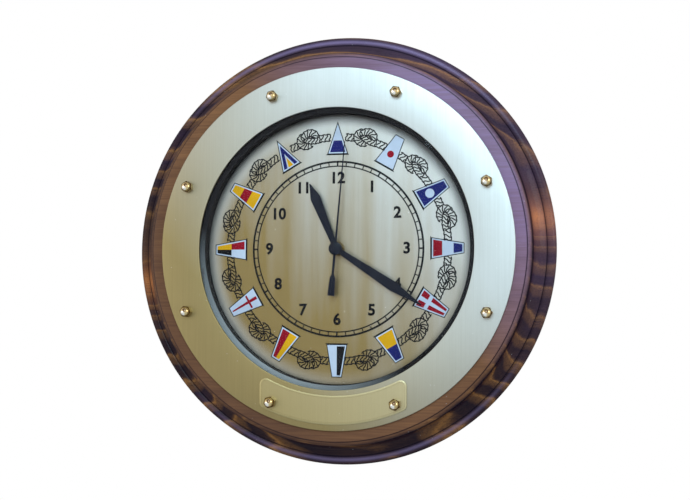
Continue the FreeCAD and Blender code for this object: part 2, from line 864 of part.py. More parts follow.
def setting_knob():
    """Notched thumb knob in its well on the back."""
    body = new_body("setting_knob", SETTING)
    rod(body, "knob_radius", knob_low, knob_top)
    notch = new_sketch(body, height=knob_low)
    outline(
        notch,
        [
            ("knob_radius - knob_notch_depth", "0"),
            ("knob_radius + knob_notch_depth", "-2 * knob_notch_depth"),
            ("knob_radius + knob_notch_depth", "2 * knob_notch_depth"),
        ],
    )
    around(body, cut(body, notch, "knob_thickness"), notch, "knob_notch_count")
    bore(body, "setting_arbor_radius + hand_fit", f"({knob_top} - knob_socket_depth)", f"({knob_top} + overrun)")
    return body


# Hands

def blade(label, angle, low, hub, shaft, shape):
    """A flat hand: hub disc and tapering blade that points to its angle, clockwise from twelve."""
    body = new_body(label)
    disc = new_sketch(body, height=low)
    circle(disc, hub)
    pad(body, disc, "hand_thickness")
    length, broad_at, broad, root, tip = shape
    sketch = new_sketch(body, height=low, turn=f"-{angle}")
    outline(
        sketch,
        [
            (root, "0"),
            (broad, broad_at),
            (tip, f"{length} - {tip}"),
            ("0", length, tip, "left"),
            (f"-{tip}", f"{length} - {tip}", tip, "left"),
            (f"-{broad}", broad_at),
            (f"-{root}", "0"),
        ],
    )
    pad(body, sketch, "hand_thickness")
    bore(body, f"{shaft} + hand_fit", low, f"({low} + hand_thickness + overrun)")
    return body


def hour_hand():
    """Hour hand on the hour pipe."""
    shape = ("hour_length", "hour_broad_at", "hour_broad_half", "hour_root_half", "hour_tip_half")
    return blade("hour_hand", "hour_angle", hour_hand_low, "hour_hub_radius", "pipe_radius", shape)


def minute_hand():
    """Minute hand on the cannon pinion."""
    shape = ("minute_length", "minute_broad_at", "minute_broad_half", "minute_root_half", "minute_tip_half")
    return blade("minute_hand", "minute_angle", minute_hand_low, "minute_hub_radius", "cannon_radius", shape)


def second_hand():
    """Second hand: needle, flared tail and bevelled cap, pressed on the seconds arbor."""
    body = new_body("second_hand")
    hub = "second_hub_radius"
    turned(
        body,
        [
            ("0", second_collar_low),
            ("second_collar_radius", second_collar_low),
            ("second_collar_radius", second_disc_low),
            (hub, second_disc_low),
            (hub, second_disc_top),
            (f"{hub} - second_cap_bevel", second_cap_top),
            ("0", second_cap_top),
        ],
    )
    sketch = new_sketch(body, height=second_disc_low, turn="-second_angle")
    outline(
        sketch,
        [
            ("second_root_half", "0"),
            ("second_tip_half", "second_length"),
            ("-second_tip_half", "second_length"),
            ("-second_root_half", "0"),
            ("-tail_neck_half", f"-{hub}"),
            ("-tail_neck_half", "-tail_flare_at"),
            ("-tail_flare_half", "-tail_flare_at - tail_flare_half"),
            ("-tail_end_half", "-tail_length"),
            ("tail_end_half", "-tail_length"),
            ("tail_flare_half", "-tail_flare_at - tail_flare_half"),
            ("tail_neck_half", "-tail_flare_at"),
            ("tail_neck_half", f"-{hub}"),
        ],
    )
    pad(body, sketch, "second_needle_thickness")
    bore(body, "arbor_radius + hand_fit", second_collar_low, f"({arbor_end} + hand_fit)")
    return body


# Build every piece

parts = [
    wood_case(),
    bezel_ring(),
    nameplate(),
    acorn_bolts(),
    glass(),
    dial_plate(),
    hanger_plate(),
    hanger_screws(),
    movement_case(),
    movement_face(),
    threaded_bushing(),
    rubber_washer(),
    brass_washer(),
    hex_nut(),
    battery(),
    contact("positive_contact", ""),
    contact("negative_contact", "-"),
    seconds_arbor(),
    cannon_pinion(),
    motion_wheel(),
    hour_wheel(),
    setting_wheel(),
    setting_knob(),
    hour_hand(),
    minute_hand(),
    second_hand(),
]

doc.recompute()
for item in doc.Objects:
    if "Invalid" in item.State or "Error" in item.State:
        raise RuntimeError(f"{item.Name} ({item.Label}) failed: {item.State}")
for part in parts:
    if part.Shape.isNull() or not part.Shape.isValid() or not part.Shape.Solids:
        raise RuntimeError(f"{part.Label} has no valid solid")

os.makedirs("parts", exist_ok=True)
for part in parts:
    part.Shape.exportStep(f"parts/{part.Label}.step")
print(f"{len(parts)} sub-parts, {sum(len(part.Shape.Solids) for part in parts)} solids")
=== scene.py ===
import functools
import math
import types

import bmesh
import bpy
import numpy as np
from mathutils import Matrix, Vector


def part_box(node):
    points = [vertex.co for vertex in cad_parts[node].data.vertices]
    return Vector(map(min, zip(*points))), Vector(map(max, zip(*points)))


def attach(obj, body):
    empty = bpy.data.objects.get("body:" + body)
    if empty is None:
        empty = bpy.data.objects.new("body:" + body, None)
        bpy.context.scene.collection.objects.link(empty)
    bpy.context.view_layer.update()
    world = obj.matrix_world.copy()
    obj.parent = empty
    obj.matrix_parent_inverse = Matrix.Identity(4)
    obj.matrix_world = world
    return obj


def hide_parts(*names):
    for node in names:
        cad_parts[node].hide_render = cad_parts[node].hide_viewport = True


bl_info = {
    "name": "Wall clock in a turned case",
    "version": (1, 0, 0),
    "blender": (4, 5, 0),
    "location": "View3D > Sidebar > Clock",
    "description": "Dresses the wall clock: moulding, brass, printed dial, hands and movement",
    "category": "Object",
}

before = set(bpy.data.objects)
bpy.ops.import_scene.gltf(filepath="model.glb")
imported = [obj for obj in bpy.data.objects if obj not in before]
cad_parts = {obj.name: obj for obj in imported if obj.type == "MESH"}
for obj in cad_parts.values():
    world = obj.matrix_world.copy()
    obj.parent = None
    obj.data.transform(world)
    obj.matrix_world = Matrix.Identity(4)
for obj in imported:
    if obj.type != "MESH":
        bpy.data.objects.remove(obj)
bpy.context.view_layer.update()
MM = 0.001
MERGE_DISTANCE = 0.002 * MM
HOURS = 12
HOUR_TURN = 2.0 * math.pi / HOURS
INKS = ("black", "white", "navy", "red", "yellow")

# Middles of the two knots in the board
KNOTS = ((164.8 * MM, -20.0 * MM, 24.0 * MM), (-160.0 * MM, -20.0 * MM, -26.0 * MM))

# Wood further from the wall than this is front, and nearer than this is back
FRONT_FROM = 5.0 * MM
BACK_WITHIN = 0.6 * MM

# Middle of the painted shadow round the dial's rim, and where grey and the painted shadow begin and end about its
# edge
SHADOW_MIDDLE = (-1.2 * MM, 0.0, -3.6 * MM)
GREY_REACH = (-17.0 * MM, -3.5 * MM)
SHADOW_REACH = (-8.0 * MM, 3.5 * MM)

# Where a nut's dome gets its painted glare and its painted dark reflection: direction, and how nearly the surface
# has to face it
GLARE_AIM, GLARE_FACING = (-0.30, -0.86, -0.42), (0.78, 0.95)
SHADE_AIM, SHADE_FACING = (0.12, -0.93, 0.35), (0.87, 0.96)

# Colours of wear, and of the painted shadow round the dial's rim
DUST = (0.75, 0.74, 0.72)
BRASS_DUST = (0.85, 0.85, 0.85)
BRUSH_SHADE = (0.55, 0.52, 0.46)
DIAL_SHADOW = (0.02, 0.02, 0.024)
OLD_POLISH = (0.07, 0.035, 0.012)
SCUFF = (0.6, 0.6, 0.58)


def node_front(name):
    """How far the front of a CAD node stands from the wall."""
    return -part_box(name)[0].y


def node_back(name):
    """How far the back of a CAD node stands from the wall."""
    return -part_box(name)[1].y


def node_reach(name):
    """The radius of the circle round the axis that touches the nearest side of a CAD node's box."""
    low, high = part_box(name)
    return min(-low.x, high.x, -low.z, high.z)


def length(name, description, millimetres):
    """A length for the panel, given in millimetres."""
    return bpy.props.FloatProperty(
        name=name, description=description, default=millimetres * MM, unit="LENGTH", precision=4)


def number(name, description, default):
    """A plain number for the panel."""
    return bpy.props.FloatProperty(name=name, description=description, default=default)


def angle(name, description, degrees):
    """An angle for the panel."""
    return bpy.props.FloatProperty(
        name=name, description=description, default=math.radians(degrees), subtype="ANGLE")


def place(name, description, *default):
    """A place in the room for the panel."""
    return bpy.props.FloatVectorProperty(
        name=name, description=description, default=default, subtype="TRANSLATION")


def colour(name, description, *default):
    """A colour for the panel."""
    return bpy.props.FloatVectorProperty(
        name=name, description=description, subtype="COLOR", size=3, min=0.0, max=1.0, default=default)


class CaseSizes(bpy.types.PropertyGroup):
    """Turned wooden case: the mouldings outwards from the well, and the stain"""

    well_radius: length("Well radius", "Radius of the well that holds the dial", 109.0)
    seat_radius: length("Glass seat radius", "Radius of the rebate that the glass lies in", 116.0)
    seat_depth: length("Glass seat depth", "Depth of the rebate below the face", 3.0)
    face_radius: length("Face radius", "Radius where the flat face ends", 153.6)
    face_step: length("Face step", "Height of the small step outside the face", 0.9)
    ovolo_radius: length("Ovolo radius", "Radius of the quarter round", 3.8)
    cove_radius: length("Cove radius", "Radius of the hollow", 17.0)
    cove_top: angle("Cove top", "Angle where the hollow meets the quarter round", 172.0)
    cove_foot: angle("Cove foot", "Angle where the hollow ends above the bead", 244.0)
    bead_radius: length("Bead radius", "Radius of the half round at the rim", 4.6)
    bead_height: length("Bead height", "Height of the bead's middle above the wall", 9.5)
    bead_corner: length("Bead corner", "Circle of the corner between the hollow and the bead", 166.8)
    foot_radius: length("Foot radius", "Radius of the plain foot at the wall", 169.68)
    recess_radius: length("Recess radius", "Radius of the recess for the movement", 46.0)
    hole_radius: length("Hole radius", "Hole in the web for the movement's neck", 4.3)
    web_thickness: length("Web thickness", "Wood left between the well and the recess", 3.2)
    easing: length("Easing", "Rounding of the sharp edges", 0.35)
    rim_margin: length("Rim margin", "Room left between the bead and the box of the frame", 0.02)
    plate_play: length("Plate play", "Room round the hanger plate in its pocket", 0.2)
    pocket_radius: length("Pocket radius", "Half the width of the pocket for a screw's head", 5.4)
    pocket_rise: length("Pocket rise", "Distance between the pocket's two round ends", 9.0)
    pocket_drop: length("Pocket drop", "Lower end of the pocket below the plate's middle", 4.0)
    pocket_depth: length("Pocket depth", "Depth of the pocket behind the plate", 4.9)
    overrun: length("Overrun", "How far a cut reaches past the wood", 2.0)
    ring_pitch: length("Ring pitch", "Distance between two growth rings of the board", 23.0)
    # Circle and width of the painted highlight along the bead
    polish_line: length("Polish line", "Circle along which the bead is polished", 169.6)
    polish_width: length("Polish width", "Width of the polished line on the bead", 1.6)
    # Width of the painted shade in each corner of the moulding
    corner_width: length("Corner stain", "Width of the stain gathered in a corner", 0.45)
    # The dark stain also colours the painted shade in the moulding's corners
    dark_stain: colour("Dark stain", "Soft early wood, which drinks the stain", 0.008, 0.005, 0.013)
    # The brown stain also colours the painted shade at the lower left of the face
    brown_stain: colour("Brown stain", "Wood between the rings", 0.055, 0.026, 0.022)
    amber_stain: colour("Amber stain", "Hard late wood, which stays light", 0.40, 0.18, 0.050)
    knot_stain: colour("Knot stain", "Orange wood at the two knots", 0.55, 0.19, 0.055)
    face_stain: colour("Face stain", "Lighter wood of the flat face", 0.27, 0.125, 0.055)
    # Painted shade: near-black colour inside the well
    well_paint: colour("Well paint", "Dark paint inside the well", 0.018, 0.017, 0.019)
    blue_cast: colour("Blue cast", "Thick finish over the dark wood", 0.016, 0.011, 0.050)
    # Painted reflection: purple over the front, towards the top and right
    sheen: colour("Sheen", "Purple sheen of the finish towards the top and right", 0.25, 0.175, 0.33)
    # Painted light on the glass seat at the lower left
    seat_sheen: colour("Seat sheen", "Blue-grey of the glass seat at the lower left", 0.44, 0.48, 0.49)
    # Painted highlight on the bead at the top and bottom
    bead_sheen: colour("Bead sheen", "Purple polish on the bead at the top and bottom", 0.25, 0.19, 0.35)


class BrassSizes(bpy.types.PropertyGroup):
    """Brass ring, nameplate, acorn nuts and dial: sizes and colours"""

    ring_inner: length("Ring inside", "Inner radius of the ring", 112.85)
    ring_easing: length("Ring easing", "Rounding of the ring's edges", 0.45)
    plate_outer: length("Plate outside", "Radius of the nameplate's outer edge", 140.0)
    plate_inner: length("Plate inside", "Radius of the nameplate's inner edge", 117.0)
    plate_corner: length("Plate corner", "Radius of the nameplate's corners", 5.0)
    plate_easing: length("Plate easing", "Rounding of the nameplate's edge", 0.2)
    border_inset: length("Border inset", "Distance of the engraved line from the edge", 1.55)
    border_wall: length("Border wall", "Width of one sloping wall of the engraved line", 0.1)
    border_depth: length("Border depth", "Depth of the engraved line", 0.09)
    bolt_circle: length("Bolt circle", "Radius of the circle of the acorn nuts", 133.0)
    nut_half: length("Nut half width", "Half the width of a nut across its flats", 4.2)
    nut_height: length("Nut height", "Height of a nut's hexagon", 4.2)
    dome_radius: length("Dome radius", "Radius of a nut's dome", 3.8)
    soil_height: length("Soil height", "Height of the corner that holds old polish", 4.25)
    soil_spread: length("Soil spread", "Distance over which the old polish fades", 0.5)
    # Each brass has a lit and a shaded colour: painted shade turns the first into the second towards the lower
    # left
    ring: colour("Ring", "Flat brushed ring", 0.425, 0.458, 0.445)
    ring_old: colour("Yellowed ring", "Ring where its lacquer has yellowed", 0.25, 0.20, 0.09)
    plate: colour("Nameplate", "Plate at the foot of the ring", 0.43, 0.385, 0.23)
    plate_old: colour("Yellowed nameplate", "Plate where its lacquer has yellowed", 0.33, 0.275, 0.13)
    nut: colour("Nut", "Polished acorn nuts", 0.66, 0.50, 0.24)
    # Painted reflections on the nuts' domes: a pale glare and a dark reflection
    nut_glare: colour("Nut glare", "Pale polish on the nuts' domes, facing down to the left", 0.98, 0.93, 0.84)
    nut_dark: colour("Nut shade", "Dark tarnish at the tip of the nuts' domes", 0.10, 0.055, 0.03)
    dial: colour("Dial", "Brushed dial", 0.445, 0.445, 0.42)
    dial_old: colour("Yellowed dial", "Amber streaks of the dial", 0.255, 0.185, 0.075)


class PrintSizes(bpy.types.PropertyGroup):
    """Print on the dial: the minute track, numerals, pennants and rope"""

    track_outer: length("Track outside", "Outer radius of the minute track", 71.2)
    track_inner: length("Track inside", "Inner radius of the minute track", 66.3)
    outer_line: length("Outer line", "Width of the track's outer line", 1.6)
    inner_line: length("Inner line", "Width of the track's inner line", 1.05)
    minute_mark: length("Minute mark", "Width of a minute's mark", 0.85)
    five_mark: length("Five minute mark", "Width of each fifth mark", 1.3)
    mark_overlap: length("Mark overlap", "How far a mark runs under the two lines", 0.05)
    numeral_radius: length("Numeral radius", "Circle that the numerals stand on", 57.0)
    numeral_size: length("Numeral size", "Height of the numerals' type", 12.5)
    numeral_weight: length("Numeral weight", "How much bolder the numerals are than their type", 0.45)
    pennant_base: length("Pennant base", "Radius of the pennants' broad end", 76.6)
    pennant_tip: length("Pennant tip", "Radius of the pennants' narrow end", 103.2)
    base_half: length("Broad half", "Half the width at the broad end", 8.7)
    tip_half: length("Narrow half", "Half the width at the narrow end", 4.2)
    base_bar_half: length("Base bar half", "Half the length of the bar under the broad end", 9.4)
    base_bar: length("Base bar", "Thickness of the bar under the broad end", 0.7)
    spot_height: length("Spot height", "Distance of a pennant's spot from its broad end", 10.6)
    outline: length("Outline", "Width of a pennant's black outline", 0.7)
    border: length("Border", "Width of a pennant's white border", 0.95)
    rope_radius: length("Rope radius", "Circle that the rope runs on", 90.4)
    rope_half: length("Rope half width", "Half the width of the rope", 2.55)
    rope_pitch: length("Rope pitch", "Distance between two strands", 3.1)
    rope_line: length("Rope line", "Width of the rope's drawn lines", 1.0)
    knot_radius: length("Knot radius", "Circle that the knots' middles lie on", 92.4)
    knot_half: length("Knot half width", "Half the width of the rope in a knot", 2.65)
    knot_pitch: length("Knot pitch", "Distance between two strands in a knot's turns", 2.35)
    end_pitch: length("End pitch", "Distance between two strands in a knot's end", 2.9)
    ink: length("Ink", "Thickness of one layer of print", 0.02)
    black: colour("Black", "Black ink", 0.012, 0.012, 0.014)
    navy: colour("Navy", "Blue of the pennants", 0.018, 0.022, 0.16)
    red: colour("Red", "Red of the pennants", 0.35, 0.008, 0.022)
    yellow: colour("Yellow", "Yellow of the pennants", 0.90, 0.46, 0.012)
    white: colour("White", "White of the pennants", 0.66, 0.74, 0.88)


class MovementColours(bpy.types.PropertyGroup):
    """Colours of the hands, the movement and the back"""

    paint: colour("Paint", "Blue-black paint of the hands", 0.010, 0.012, 0.022)
    washer: colour("Washer", "Washer and nut at the middle of the dial", 0.24, 0.17, 0.08)
    neck: colour("Neck", "Threaded neck and minute pipe", 0.192, 0.136, 0.064)
    steel: colour("Steel", "Arbors and contacts", 0.60, 0.61, 0.62)
    housing: colour("Housing", "Moulded housing", 0.016, 0.016, 0.018)
    wheel: colour("Wheels", "Plastic wheels", 0.80, 0.78, 0.70)
    rubber: colour("Rubber", "Washer behind the dial", 0.02, 0.02, 0.02)
    sleeve: colour("Sleeve", "Sleeve of the battery", 0.03, 0.06, 0.05)
    sleeve_end: colour("Sleeve end", "Band at the battery's cap", 0.62, 0.36, 0.12)
    knob: colour("Knob", "Knob that sets the hands", 0.06, 0.06, 0.065)
    zinc: colour("Zinc", "Plated hanger", 0.40, 0.41, 0.43)
    screw: colour("Screw", "Screws of the hanger", 0.56, 0.44, 0.20)


class StageSizes(bpy.types.PropertyGroup):
    """Camera, lamps, floor and background"""

    focal: number("Lens", "Focal length in millimetres on a 36 mm sensor", 70.17)
    camera_place: place("Camera place", "Right of the axis, out from the wall and up", 0.2654, -1.0725, -0.0544)
    tilt: angle("Tilt", "Tilt of the camera from straight down", 92.833)
    roll: angle("Roll", "Roll of the camera", -0.254)
    turn: angle("Turn", "Turn of the camera about the upright", 13.867)
    key_place: place("Key lamp place", "Large lamp above the camera", 0.20, -1.33, 0.68)
    key_size: length("Key lamp size", "Side of the large lamp", 900.0)
    key_power: number("Key lamp", "Power of the large lamp", 15.0)
    key_tint: colour("Key tint", "Bluish daylight of the large lamp", 0.62, 0.84, 1.0)
    fill_place: place("Fill lamp place", "Lamp at the left", -1.1, -0.9, 0.1)
    fill_size: length("Fill lamp size", "Side of the lamp at the left", 800.0)
    fill_power: number("Fill lamp", "Power of the lamp at the left", 3.0)
    window_place: place("Window lamp place", "Lamp at the right", 1.2, -0.35, 0.35)
    window_size: length("Window lamp size", "Side of the lamp at the right", 600.0)
    window_power: number("Window lamp", "Power of the lamp at the right", 4.0)
    room_light: number("Room light", "Strength of the light that comes from all round", 0.38)
    room_tint: colour("Room tint", "Colour of the light that comes from all round", 0.95, 0.97, 1.0)
    floor_drop: length("Floor", "Height of the floor below the axis", 450.0)
    floor_size: length("Floor size", "Side of the floor", 2400.0)
    floor_colour: colour("Floor colour", "Pale floor", 0.86, 0.86, 0.86)


# Shapes: each gives points on a grid of rows and columns, worked out as whole arrays

def grid_faces(rows, columns, first=0, wrap=False):
    """Four-cornered faces between neighbouring points of a grid; wrapped, the last column joins the first."""
    row, column = np.meshgrid(np.arange(rows - 1), np.arange(columns if wrap else columns - 1), indexing="ij")
    here, beside = row * columns + column, row * columns + (column + 1) % columns
    return np.stack([here, beside, beside + columns, here + columns], -1).reshape(-1, 4) + first


def linked(name, data):
    """Puts a mesh, lamp, camera or text into the scene as an object at the origin."""
    made = bpy.data.objects.new(name, data)
    bpy.context.scene.collection.objects.link(made)
    return made


def mended(mesh, outward=False, join_flat=False):
    """Merges points that coincide; joins flat faces and turns the faces of a closed mesh outwards if asked."""
    work = bmesh.new()
    work.from_mesh(mesh)
    bmesh.ops.remove_doubles(work, verts=work.verts, dist=MERGE_DISTANCE)
    if join_flat:
        bmesh.ops.dissolve_limit(work, angle_limit=math.radians(1.0), verts=work.verts, edges=work.edges)
    if outward:
        bmesh.ops.recalc_face_normals(work, faces=work.faces)
    work.to_mesh(mesh)
    work.free()


def smoothed(mesh, degrees):
    """Shades a mesh smooth, except across edges sharper than an angle."""
    mesh.polygons.foreach_set("use_smooth", np.ones(len(mesh.polygons), bool))
    mesh.set_sharp_from_angle(angle=math.radians(degrees))


def new_piece(name, grids, materials, slots=(0,), closed=False, smooth=35.0):
    """A mesh piece of the clock made of point grids, with a material slot for each grid. A closed one has
    columns that wrap, faces turned outwards and smooth shading up to an angle."""
    sizes = [grid.shape[0] * grid.shape[1] for grid in grids]
    firsts = np.concatenate([[0], np.cumsum(sizes)[:-1]])
    faces = [grid_faces(*grid.shape[:2], first, closed) for grid, first in zip(grids, firsts)]
    mesh = bpy.data.meshes.new(name)
    points = np.concatenate([grid.reshape(-1, 3) for grid in grids])
    mesh.from_pydata(points.tolist(), [], np.concatenate(faces).tolist())
    for material in materials:
        mesh.materials.append(material)
    marks = np.repeat(slots, [len(part) for part in faces])
    mesh.polygons.foreach_set("material_index", marks.astype(np.int32))
    mended(mesh, outward=closed)
    if closed:
        smoothed(mesh, smooth)
    made = linked(name, mesh)
    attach(made, "clock")
    return made


def turned_grid(profile, count=360):
    """A closed profile of radius and height carried round the axis: x = radius cos a, y = -height,
    z = radius sin a."""
    profile = np.concatenate([profile, profile[:1]])
    around = np.linspace(0.0, 2.0 * np.pi, count, endpoint=False)
    radius, height = profile[:, :1], profile[:, 1:]
    return np.stack([radius * np.cos(around), -height + 0.0 * around, radius * np.sin(around)], -1)


def lifted(outlines, heights):
    """Flat outlines, x right and z up, each at its height above the wall, y = -height: the rows of a grid."""
    return np.stack([np.stack([line[:, 0], np.full(len(line), -height), line[:, 1]], -1)
                     for line, height in zip(outlines, heights)])


def arc(center, radius, first, last, steps):
    """Points on a circle from one angle to another: center + radius (cos a, sin a)."""
    angles = np.linspace(first, last, steps)
    return np.stack([center[0] + radius * np.cos(angles), center[1] + radius * np.sin(angles)], -1)


def eased(corners, radius, steps=4):
    """A closed outline whose corners are rounded: each corner becomes a curve from one side to the next,
    (1-t)^2 a + 2t(1-t) corner + t^2 b."""
    corners = np.asarray(corners, float)
    before, after = np.roll(corners, 1, 0) - corners, np.roll(corners, -1, 0) - corners
    before_length = np.linalg.norm(before, axis=1, keepdims=True)
    after_length = np.linalg.norm(after, axis=1, keepdims=True)
    reach = np.minimum(radius, 0.45 * np.minimum(before_length, after_length))
    start = corners + before / before_length * reach
    end = corners + after / after_length * reach
    t = np.linspace(0.0, 1.0, steps)[None, :, None]
    curve = (1 - t) ** 2 * start[:, None] + 2 * t * (1 - t) * corners[:, None] + t ** 2 * end[:, None]
    return curve.reshape(-1, 2)


# Print: flat figures in the dial's own plane, x right and z up, laid on the dial in thin layers

def layer_front(layer):
    """Height of the front of one layer of print above the wall; layers lie two inks apart."""
    return node_front("dial_plate") + (2.0 * layer + 1.6) * bpy.context.scene.clock_print.ink


def on_dial(grid, layer):
    """Flat points lifted to their layer above the dial, with the face turned to the reader."""
    across, along = grid[1:, :-1] - grid[:-1, :-1], grid[:-1, 1:] - grid[:-1, :-1]
    turn = np.sum(across[..., 0] * along[..., 1] - across[..., 1] * along[..., 0])
    grid = grid[::-1] if turn > 0 else grid
    return lifted(grid, [layer_front(layer)] * len(grid))


def inked(made):
    """Gives a flat figure the thickness of the ink."""
    thickness = made.modifiers.new("Ink", "SOLIDIFY")
    thickness.thickness = bpy.context.scene.clock_print.ink
    thickness.offset = -1.0


def print_piece(name, figures, materials):
    """Figures given as (points, layer, slot), printed as thin solid layers."""
    grids = [on_dial(points, layer) for points, layer, slot in figures]
    inked(new_piece(name, grids, materials, slots=[slot for points, layer, slot in figures]))


def band(inner, outer, first=0.0, last=2.0 * math.pi, steps=241):
    """A flat ring or part of one: radius from inner to outer, angle clockwise from twelve."""
    angles = np.linspace(first, last, steps)[:, None]
    radius = np.array([[inner, outer]])
    return np.stack([radius * np.sin(angles), radius * np.cos(angles)], -1)


def square_to(line):
    """Unit vectors square to a line of points, towards its left."""
    ahead = np.gradient(line, axis=0)
    ahead /= np.linalg.norm(ahead, axis=1, keepdims=True)
    return np.stack([-ahead[:, 1], ahead[:, 0]], -1)


def ribbon(line, width):
    """A line of points given a width: each point moves half the width to both sides, square to the line."""
    side = square_to(line) * width / 2
    return np.stack([line - side, line + side], 1)


def at_clock(figures, direction, radius):
    """Figures drawn upright, their second coordinate away from the centre, carried to a direction of the dial."""
    cosine, sine = math.cos(direction), math.sin(direction)
    turn = np.array([[cosine, -sine], [sine, cosine]])
    return [((points + (0.0, radius)) @ turn, layer, slot) for points, layer, slot in figures]


# Shader tools

def solid(rgb):
    """A colour with full alpha."""
    return (*rgb, 1.0)


class Nodes:
    """Short words for adding nodes to a shader tree. A value is a number, a colour or another node's output."""

    def __init__(self, tree, read_place=None, material=None):
        self.tree, self.place, self.material = tree, read_place, material
        self.shader = tree.nodes.get("Principled BSDF")

    def join(self, node, feeds):
        """Feeds a node's inputs with values."""
        for key, value in feeds.items():
            if isinstance(value, bpy.types.NodeSocket):
                self.tree.links.new(value, node.inputs[key])
            else:
                node.inputs[key].default_value = value
        return node

    def add(self, kind, feeds=None, **settings):
        """Adds a node, sets its properties and feeds its inputs."""
        node = self.tree.nodes.new("ShaderNode" + kind)
        for name, setting in settings.items():
            setattr(node, name, setting)
        return self.join(node, feeds or {})

    def math(self, operation, *values):
        """One step of arithmetic."""
        return self.add("Math", dict(enumerate(values)), operation=operation).outputs[0]

    def times(self, *values):
        """The product of two or more values."""
        return functools.reduce(functools.partial(self.math, "MULTIPLY"), values)

    def most(self, *values):
        """The greatest of two or more values."""
        return functools.reduce(functools.partial(self.math, "MAXIMUM"), values)

    def line(self, value, slope, start):
        """The value times a slope, plus a start."""
        return self.math("MULTIPLY_ADD", value, slope, start)

    def plane(self, first, slope, second, other_slope, start):
        """Two values, each times its slope, plus a start."""
        return self.line(first, slope, self.line(second, other_slope, start))

    def clamp(self, value):
        """The value kept between 0 and 1."""
        return self.add("Clamp", {0: value}).outputs[0]

    def between(self, value, low, high, top=1.0, kind="LINEAR"):
        """0 before low, top beyond high, and a straight or smooth step between them."""
        feeds = {0: value, 1: low, 2: high, 3: 0.0, 4: top}
        return self.add("MapRange", feeds, interpolation_type=kind).outputs[0]

    def peak(self, value, middle, width):
        """A bump at a middle value: exp(-((value - middle) / width)^2)."""
        aside = self.math("DIVIDE", self.math("SUBTRACT", value, middle), width)
        return self.math("EXPONENT", self.times(aside, aside, -1.0))

    def vector(self, operation, first, second=(0.0, 0.0, 0.0)):
        """One step of vector arithmetic."""
        outputs = self.add("VectorMath", {0: first, 1: second}, operation=operation).outputs
        return outputs["Value" if operation in ("LENGTH", "DOT_PRODUCT") else "Vector"]

    def scaled(self, vector, scale):
        """A vector times a number."""
        return self.add("VectorMath", {0: vector, "Scale": scale}, operation="SCALE").outputs[0]

    def distance(self, middle=(0.0, 0.0, 0.0), weights=(1.0, 0.0, 1.0)):
        """How far the place is from a middle, with each axis weighted; as it stands, depth doesn't count."""
        offset = self.vector("SUBTRACT", self.place, middle)
        return self.vector("LENGTH", self.vector("MULTIPLY", offset, weights))

    @functools.cached_property
    def parts(self):
        """The place as three numbers: right, back and up."""
        return self.add("SeparateXYZ", {0: self.place}).outputs

    def toward(self, right, up, start):
        """A mask that grows to the right and up by two slopes from a start, kept between 0 and 1."""
        return self.clamp(self.plane(self.parts[0], right, self.parts[2], up, start))

    def noise(self, scale, detail=3.0, roughness=0.5):
        """Noise over the place; a scale of three numbers stretches it along the axes."""
        vector = self.place
        if isinstance(scale, tuple):
            vector, scale = self.add("Mapping", {"Vector": vector, "Scale": scale}).outputs[0], 1.0
        feeds = {"Vector": vector, "Scale": scale, "Detail": detail, "Roughness": roughness}
        return self.add("TexNoise", feeds).outputs["Fac"]

    def mix(self, factor, first, second, kind="MIX"):
        """The colour between two others."""
        first, second = (
            tone if isinstance(tone, bpy.types.NodeSocket) else solid(tone) for tone in (first, second))
        feeds = {0: factor, 6: first, 7: second}
        return self.add("Mix", feeds, data_type="RGBA", blend_type=kind, clamp_factor=True).outputs[2]

    def ramp(self, value, *stops):
        """A ramp of greys, given as places and levels."""
        made = self.add("ValToRGB", {"Fac": value})
        elements = made.color_ramp.elements
        while len(elements) < len(stops):
            elements.new(1.0)
        for element, (position, level) in zip(elements, stops):
            element.position = position
            element.color = (level, level, level, 1.0)
        return made.outputs["Color"]

    def effect(self, maker, **feeds):
        """Places one shared effect, building its group the first time."""
        name = maker.__name__.replace("_", " ").capitalize()
        node = self.tree.nodes.new("ShaderNodeGroup")
        node.node_tree = bpy.data.node_groups.get(name) or maker(name)
        return self.join(node, {"Vector": self.place, **feeds}).outputs


def new_group(name, outputs, **inputs):
    """An empty node group that reads a place and some numbers: its nodes, its inputs and its output node."""
    group = bpy.data.node_groups.new(name, "ShaderNodeTree")
    group.interface.new_socket(name="Vector", in_out="INPUT", socket_type="NodeSocketVector")
    for socket, default in inputs.items():
        made = group.interface.new_socket(name=socket, in_out="INPUT", socket_type="NodeSocketFloat")
        made.default_value = default
    for socket in outputs:
        group.interface.new_socket(name=socket, in_out="OUTPUT", socket_type="NodeSocketFloat")
    given = group.nodes.new("NodeGroupInput").outputs
    return Nodes(group, given["Vector"]), given, group.nodes.new("NodeGroupOutput")


def brush_lines(name):
    """Fine parallel brush lines: noise squeezed hard across the lines, plus a slower band of wear."""
    n, given, result = new_group(name, ("Lines", "Bands"), Fineness=1.0)
    n.place = n.scaled(n.place, given["Fineness"])
    fine, coarse = n.noise((2600.0, 60.0, 22.0), 2.0), n.noise((620.0, 60.0, 9.0), 3.0, 0.6)
    n.join(result, {"Lines": n.line(fine, 0.55, n.times(coarse, 0.45)),
                    "Bands": n.noise((70.0, 20.0, 5.0), 3.0, 0.55)})
    return n.tree


def yellowed_lacquer(name):
    """A mask of painted shade that grows evenly towards the lower left, broken into upright streaks by slow
    bands.
    """
    n, given, result = new_group(name, ("Mask",), Slope=3.4, Start=0.42, Bands=0.5, Streaks=0.0)
    lower_left = n.plane(n.parts[0], -1.25, n.parts[2], -1.15, 0.0)
    mask = n.line(lower_left, given["Slope"], given["Start"])
    mask = n.line(n.math("SUBTRACT", given["Bands"], 0.5), given["Streaks"], mask)
    n.join(result, {"Mask": n.clamp(mask)})
    return n.tree


